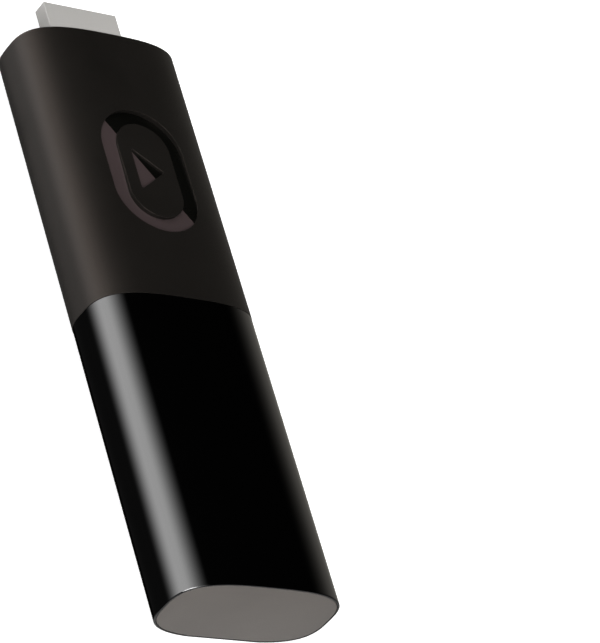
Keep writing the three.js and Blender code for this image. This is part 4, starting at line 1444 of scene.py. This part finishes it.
# ------------------------------------------------------------------ plug and sockets
@dataclass
class VideoPlug:
    """The plug's metal shell, rolled in at its lip, with two solder feet.

    Each row of the lip is a distance back from the tip and an inset.
    """

    bench: Bench
    width: float = 13.9 * MM
    height: float = 4.45 * MM
    cut: float = 1.75 * MM
    corner: float = 0.14 * MM
    least_corner: float = 0.05 * MM
    sheet: float = 0.4 * MM
    rear_reach: float = 17.7 * MM
    lip_start: float = 0.16 * MM
    lip: tuple[tuple[float, float], ...] = (
        (0.05 * MM, 0.04 * MM),
        (0.0, 0.14 * MM),
        (0.0, 0.28 * MM),
        (0.1 * MM, 0.4 * MM),
    )
    foot_width: float = 1.6 * MM
    foot_length: float = 2.6 * MM
    foot_join: float = 0.4 * MM
    foot_height: float = 0.5 * MM
    foot_edge: float = 0.08 * MM

    @classmethod
    def outline(cls, inset: float) -> np.ndarray:
        """The plug's outline in X and Z, with rounded corners.

        Args:
            inset: How far it lies inside the metal's outer surface.

        Returns:
            The outline's points, one per row.
        """
        cut = cls.cut - inset * (2 - math.sqrt(2))
        corners = shouldered(cls.width - 2 * inset, cls.height - 2 * inset, cut)
        return densified(corners, max(cls.corner - inset, cls.least_corner), 8)

    def ring(self, y: float, inset: float) -> np.ndarray:
        """The outline as points of the frame."""
        flat = self.outline(inset)
        return np.stack([flat[:, 0], np.full(len(flat), y), flat[:, 1] + self.bench.section.rest_depth], 1)

    def build(self) -> None:
        """Builds and dresses the plug's shell."""
        tip, rear = self.bench.along.tip, self.bench.along.tip - self.rear_reach
        rows = [(float(y), 0.0) for y in np.linspace(rear, tip - self.lip_start, 6)]
        rows += [(tip - back, inset) for back, inset in self.lip]
        rows.append((rear, self.sheet))
        rings = [self.ring(y, inset) for y, inset in rows]
        shell = new_object("plug_shell_piece", loft("plug_shell_piece", rings, closed=True))
        z = self.bench.section.rest_depth + self.foot_height
        feet = []
        for side in (-1, 1):
            x0, x1 = sorted((side * self.width / 2, side * (self.width / 2 - self.foot_width)))
            low = (x0, rear - self.foot_length, z)
            feet.append((low, (x1, rear + self.foot_join, z + self.sheet), self.foot_edge))
        boolean(shell, blocks("feet", feet), "UNION")
        shade(shell, 35)
        self.bench.finish_piece(shell, "plug_metal", ["plug_shell"])


@dataclass(frozen=True)
class SoftPart:
    """An inner piece that is made from its node by rounding its edges."""

    node: str
    slot: str
    edge: float


@dataclass
class Electronics:
    """The board with what stands on it, the carrier, the cooling, the sockets' insides and the light."""

    bench: Bench
    parts: list[SoftPart] = field(default_factory=list)

    def __post_init__(self) -> None:
        """Lists the parts with the radius of their edges."""
        edges = {
            "carrier": 0.15, "board": 0.04, "insulator": 0.06, "contact_gold": 0.03, "plug_metal": 0.05,
            "shield_metal": 0.06, "spreader": 0.12, "thermal_pad": 0.15, "chip": 0.06, "ferrite": 0.2,
            "ceramic": 0.12, "led": 0.1, "clear_plastic": 0.06, "screw": 0.06,
        }
        done = {"upper_shell", "lower_shell", "end_cap", "plug_shell"}
        for row in self.bench.frame["record"]["subparts"]:
            if row["node"] not in done:
                slot = row["material_slot"]
                self.parts.append(SoftPart(row["node"], slot, edges[slot] * MM))

    def build(self) -> None:
        """Builds and dresses every inner piece."""
        for part in self.parts:
            piece = softened(part.node, self.bench.frame, part.edge)
            self.bench.finish_piece(piece, part.slot, [part.node])


# ------------------------------------------------------------------ studio
@dataclass(frozen=True)
class Panel:
    """A large soft panel of light that surrounds the stick lengthwise.

    Its place is an angle about the stick's long axis, from 0 at the right through 90 overhead to 180 at the
    left, and a reach along that axis, from -1 towards the cap to 1 towards the plug.
    """

    name: str
    rise: tuple[float, float]
    fall: tuple[float, float]
    near: tuple[float, float]
    far: tuple[float, float]
    brightness: float
    tint: tuple[float, float, float] = (1.0, 1.0, 1.0)

    def glow(
        self, s: Shader, angle: bpy.types.NodeSocket, along: bpy.types.NodeSocket
    ) -> bpy.types.NodeSocket:
        """The panel's light in each direction.

        Args:
            s: The surroundings being built.
            angle: The angle about the stick's axis, in degrees.
            along: The reach along that axis.

        Returns:
            The light as a colour.
        """
        mask = s.math("MULTIPLY", s.ramp(angle, *self.rise), s.ramp(angle, *reversed(self.fall)))
        mask = s.math("MULTIPLY", mask, s.ramp(along, *self.near))
        mask = s.math("MULTIPLY", mask, s.ramp(along, *reversed(self.far)))
        return s.mix(mask, colour(0, 0, 0), scaled(self.tint, self.brightness))


@dataclass
class Studio:
    """A pale floor, soft lights and the camera."""

    bench: Bench
    azimuth: float = -48.23
    elevation: float = 38.544
    roll: float = -43.363
    lens: float = 213.42
    distance: float = 585.063 * MM
    aim: tuple[float, float, float] = (16.837 * MM, -9.579 * MM, 18.864 * MM)
    lamp_distance: float = 0.3
    plug_middle: float = 5 * MM
    floor_reach: float = 3.0
    floor_drop: float = 0.02 * MM

    def camera(self) -> None:
        """Places the camera."""
        a, e, r = (math.radians(v) for v in (self.azimuth, self.elevation, self.roll))
        back = Vector((math.sin(a) * math.cos(e), -math.cos(a) * math.cos(e), math.sin(e)))
        level = (-back).cross(Vector((0, 0, 1))).normalized()
        upright = level.cross(-back)
        right = level * math.cos(r) - upright * math.sin(r)
        data = bpy.data.cameras.new("camera")
        data.lens = self.lens
        data.sensor_width = 36
        data.clip_start, data.clip_end = 0.01, 20
        camera = bpy.data.objects.new("camera", data)
        axes = Matrix((right, back.cross(right), back)).transposed().to_4x4()
        camera.matrix_world = Matrix.Translation(Vector(self.aim) + back * self.distance) @ axes
        bpy.context.scene.collection.objects.link(camera)
        bpy.context.scene.camera = camera

    def floor(self) -> None:
        """Lays the floor."""
        reach, z = self.floor_reach, -self.floor_drop
        corners = np.array([(-reach, -reach, z), (reach, -reach, z), (reach, reach, z), (-reach, reach, z)])
        floor = new_object("floor", mesh_from("floor", corners, [(0, 1, 2, 3)]))
        material, s, surface = start_material("pale floor")
        tone = s.mix(s.noise(s.object_place(), 3.0, 2.0), colour(0.86, 0.86, 0.86), colour(0.9, 0.9, 0.9))
        s.join(tone, surface.inputs["Base Color"])
        surface.inputs["Roughness"].default_value = 0.9
        surface.inputs["Specular IOR Level"].default_value = 0.1
        s.join(tone, surface.inputs["Emission Color"])
        surface.inputs["Emission Strength"].default_value = 0.85
        floor.data.materials.append(material)
        floor.visible_glossy = False
        floor.visible_diffuse = False
        floor.visible_shadow = False

    def surroundings(self) -> None:
        """Surrounds the stick with soft panels of light."""
        panels = [
            Panel("left", (88, 148), (164, 227), (0.34, 0.43), (0.57, 0.66), 6.9),
            Panel("right glow", (-75, -45), (4, 36), (0.0, 0.3), (0.8, 1.0), 0.34, (1.0, 0.95, 0.86)),
            Panel("right edge", (-70, -50), (-10, 20), (0.1, 0.22), (0.28, 0.42), 1.2),
            Panel("under left", (200, 222), (262, 268), (0.0, 0.3), (0.7, 0.9), 0.03),
            Panel("front", (85, 105), (125, 150), (-2.0, -1.5), (-0.4, -0.2), 6.0),
            Panel("bounce", (-95, -90), (-45, -25), (-1.1, -0.7), (0.15, 0.35), 0.7),
            Panel("bounce left", (225, 255), (270, 275), (-1.1, -0.7), (0.15, 0.35), 0.7),
            Panel("far left edge", (190, 215), (240, 265), (0.8, 0.9), (2.0, 3.0), 21.0),
        ]
        world = bpy.data.worlds.new("studio")
        bpy.context.scene.world = world
        world.use_nodes = True
        s = Shader(world.node_tree)
        direction = s.node("ShaderNodeSeparateXYZ")
        s.join(s.node("ShaderNodeTexCoord").outputs["Generated"], direction.inputs[0])
        across, along, up = direction.outputs
        quarter = s.math("MULTIPLY", s.math("ARCTAN2", s.math("MULTIPLY", across, -1.0), up), 180 / math.pi)
        angle = s.math("ADD", quarter, 90.0)
        total = panels[0].glow(s, angle, along)
        for panel in panels[1:]:
            both = s.node("ShaderNodeVectorMath", operation="ADD")
            s.join(total, both.inputs[0])
            s.join(panel.glow(s, angle, along), both.inputs[1])
            total = both.outputs[0]
        s.join(total, world.node_tree.nodes["Background"].inputs["Color"])

    def lamp(self, node: str, target: Vector, toward: Vector, size: float, energy: float) -> None:
        """Hangs a small soft lamp that lights one piece only.

        Args:
            node: The node whose piece is lit.
            target: The point that the lamp faces.
            toward: The direction from that point to the lamp.
            size: The lamp's side.
            energy: Its power in watts.
        """
        name = f"{node} lamp"
        lamp = bpy.data.lights.new(name, "AREA")
        lamp.shape = "SQUARE"
        lamp.size = size
        lamp.energy = energy
        light = bpy.data.objects.new(name, lamp)
        reach = toward.normalized()
        light.location = target + reach * self.lamp_distance
        light.rotation_mode = "QUATERNION"
        light.rotation_quaternion = (-reach).to_track_quat("-Z", "Y")
        bpy.context.scene.collection.objects.link(light)
        lit = bpy.data.collections.new(f"lit by the {name}")
        lit.objects.link(bpy.data.objects[f"{node}_piece"])
        light.light_linking.receiver_collection = lit

    def lamps(self) -> None:
        """Hangs a lamp over the plug, and one that catches the gloss shell's edge round the cap."""
        along, middle = self.bench.along, self.bench.section.rest_depth
        plug = Vector((0, along.tip - self.plug_middle, middle))
        self.lamp("plug_shell", plug, toward=Vector((0.5, -0.3, 0.8)), size=0.12, energy=1.12)
        cap = Vector((0, along.bottom, middle))
        self.lamp("lower_shell", cap, toward=Vector((-0.66, -0.45, 0.56)), size=0.22, energy=6.0)

    def build(self) -> None:
        """Builds the studio."""
        self.camera()
        self.floor()
        self.surroundings()
        self.lamps()
        bpy.context.scene.view_settings.view_transform = "Standard"


def main() -> None:
    """Builds the stick round the frame, and the studio round the stick."""
    logging.basicConfig(level=logging.INFO, format="%(name)s: %(message)s")
    for thing in list(bpy.data.objects):
        bpy.data.objects.remove(thing, do_unlink=True)
    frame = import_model()
    bench = Bench(frame, Section(), Lengths.measured(), Finishes())
    UpperShell(bench).build()
    LowerShell(bench).build()
    EndCap(bench).build()
    VideoPlug(bench).build()
    Electronics(bench).build()
    Studio(bench).build()


if __name__ == "__main__":
    main()
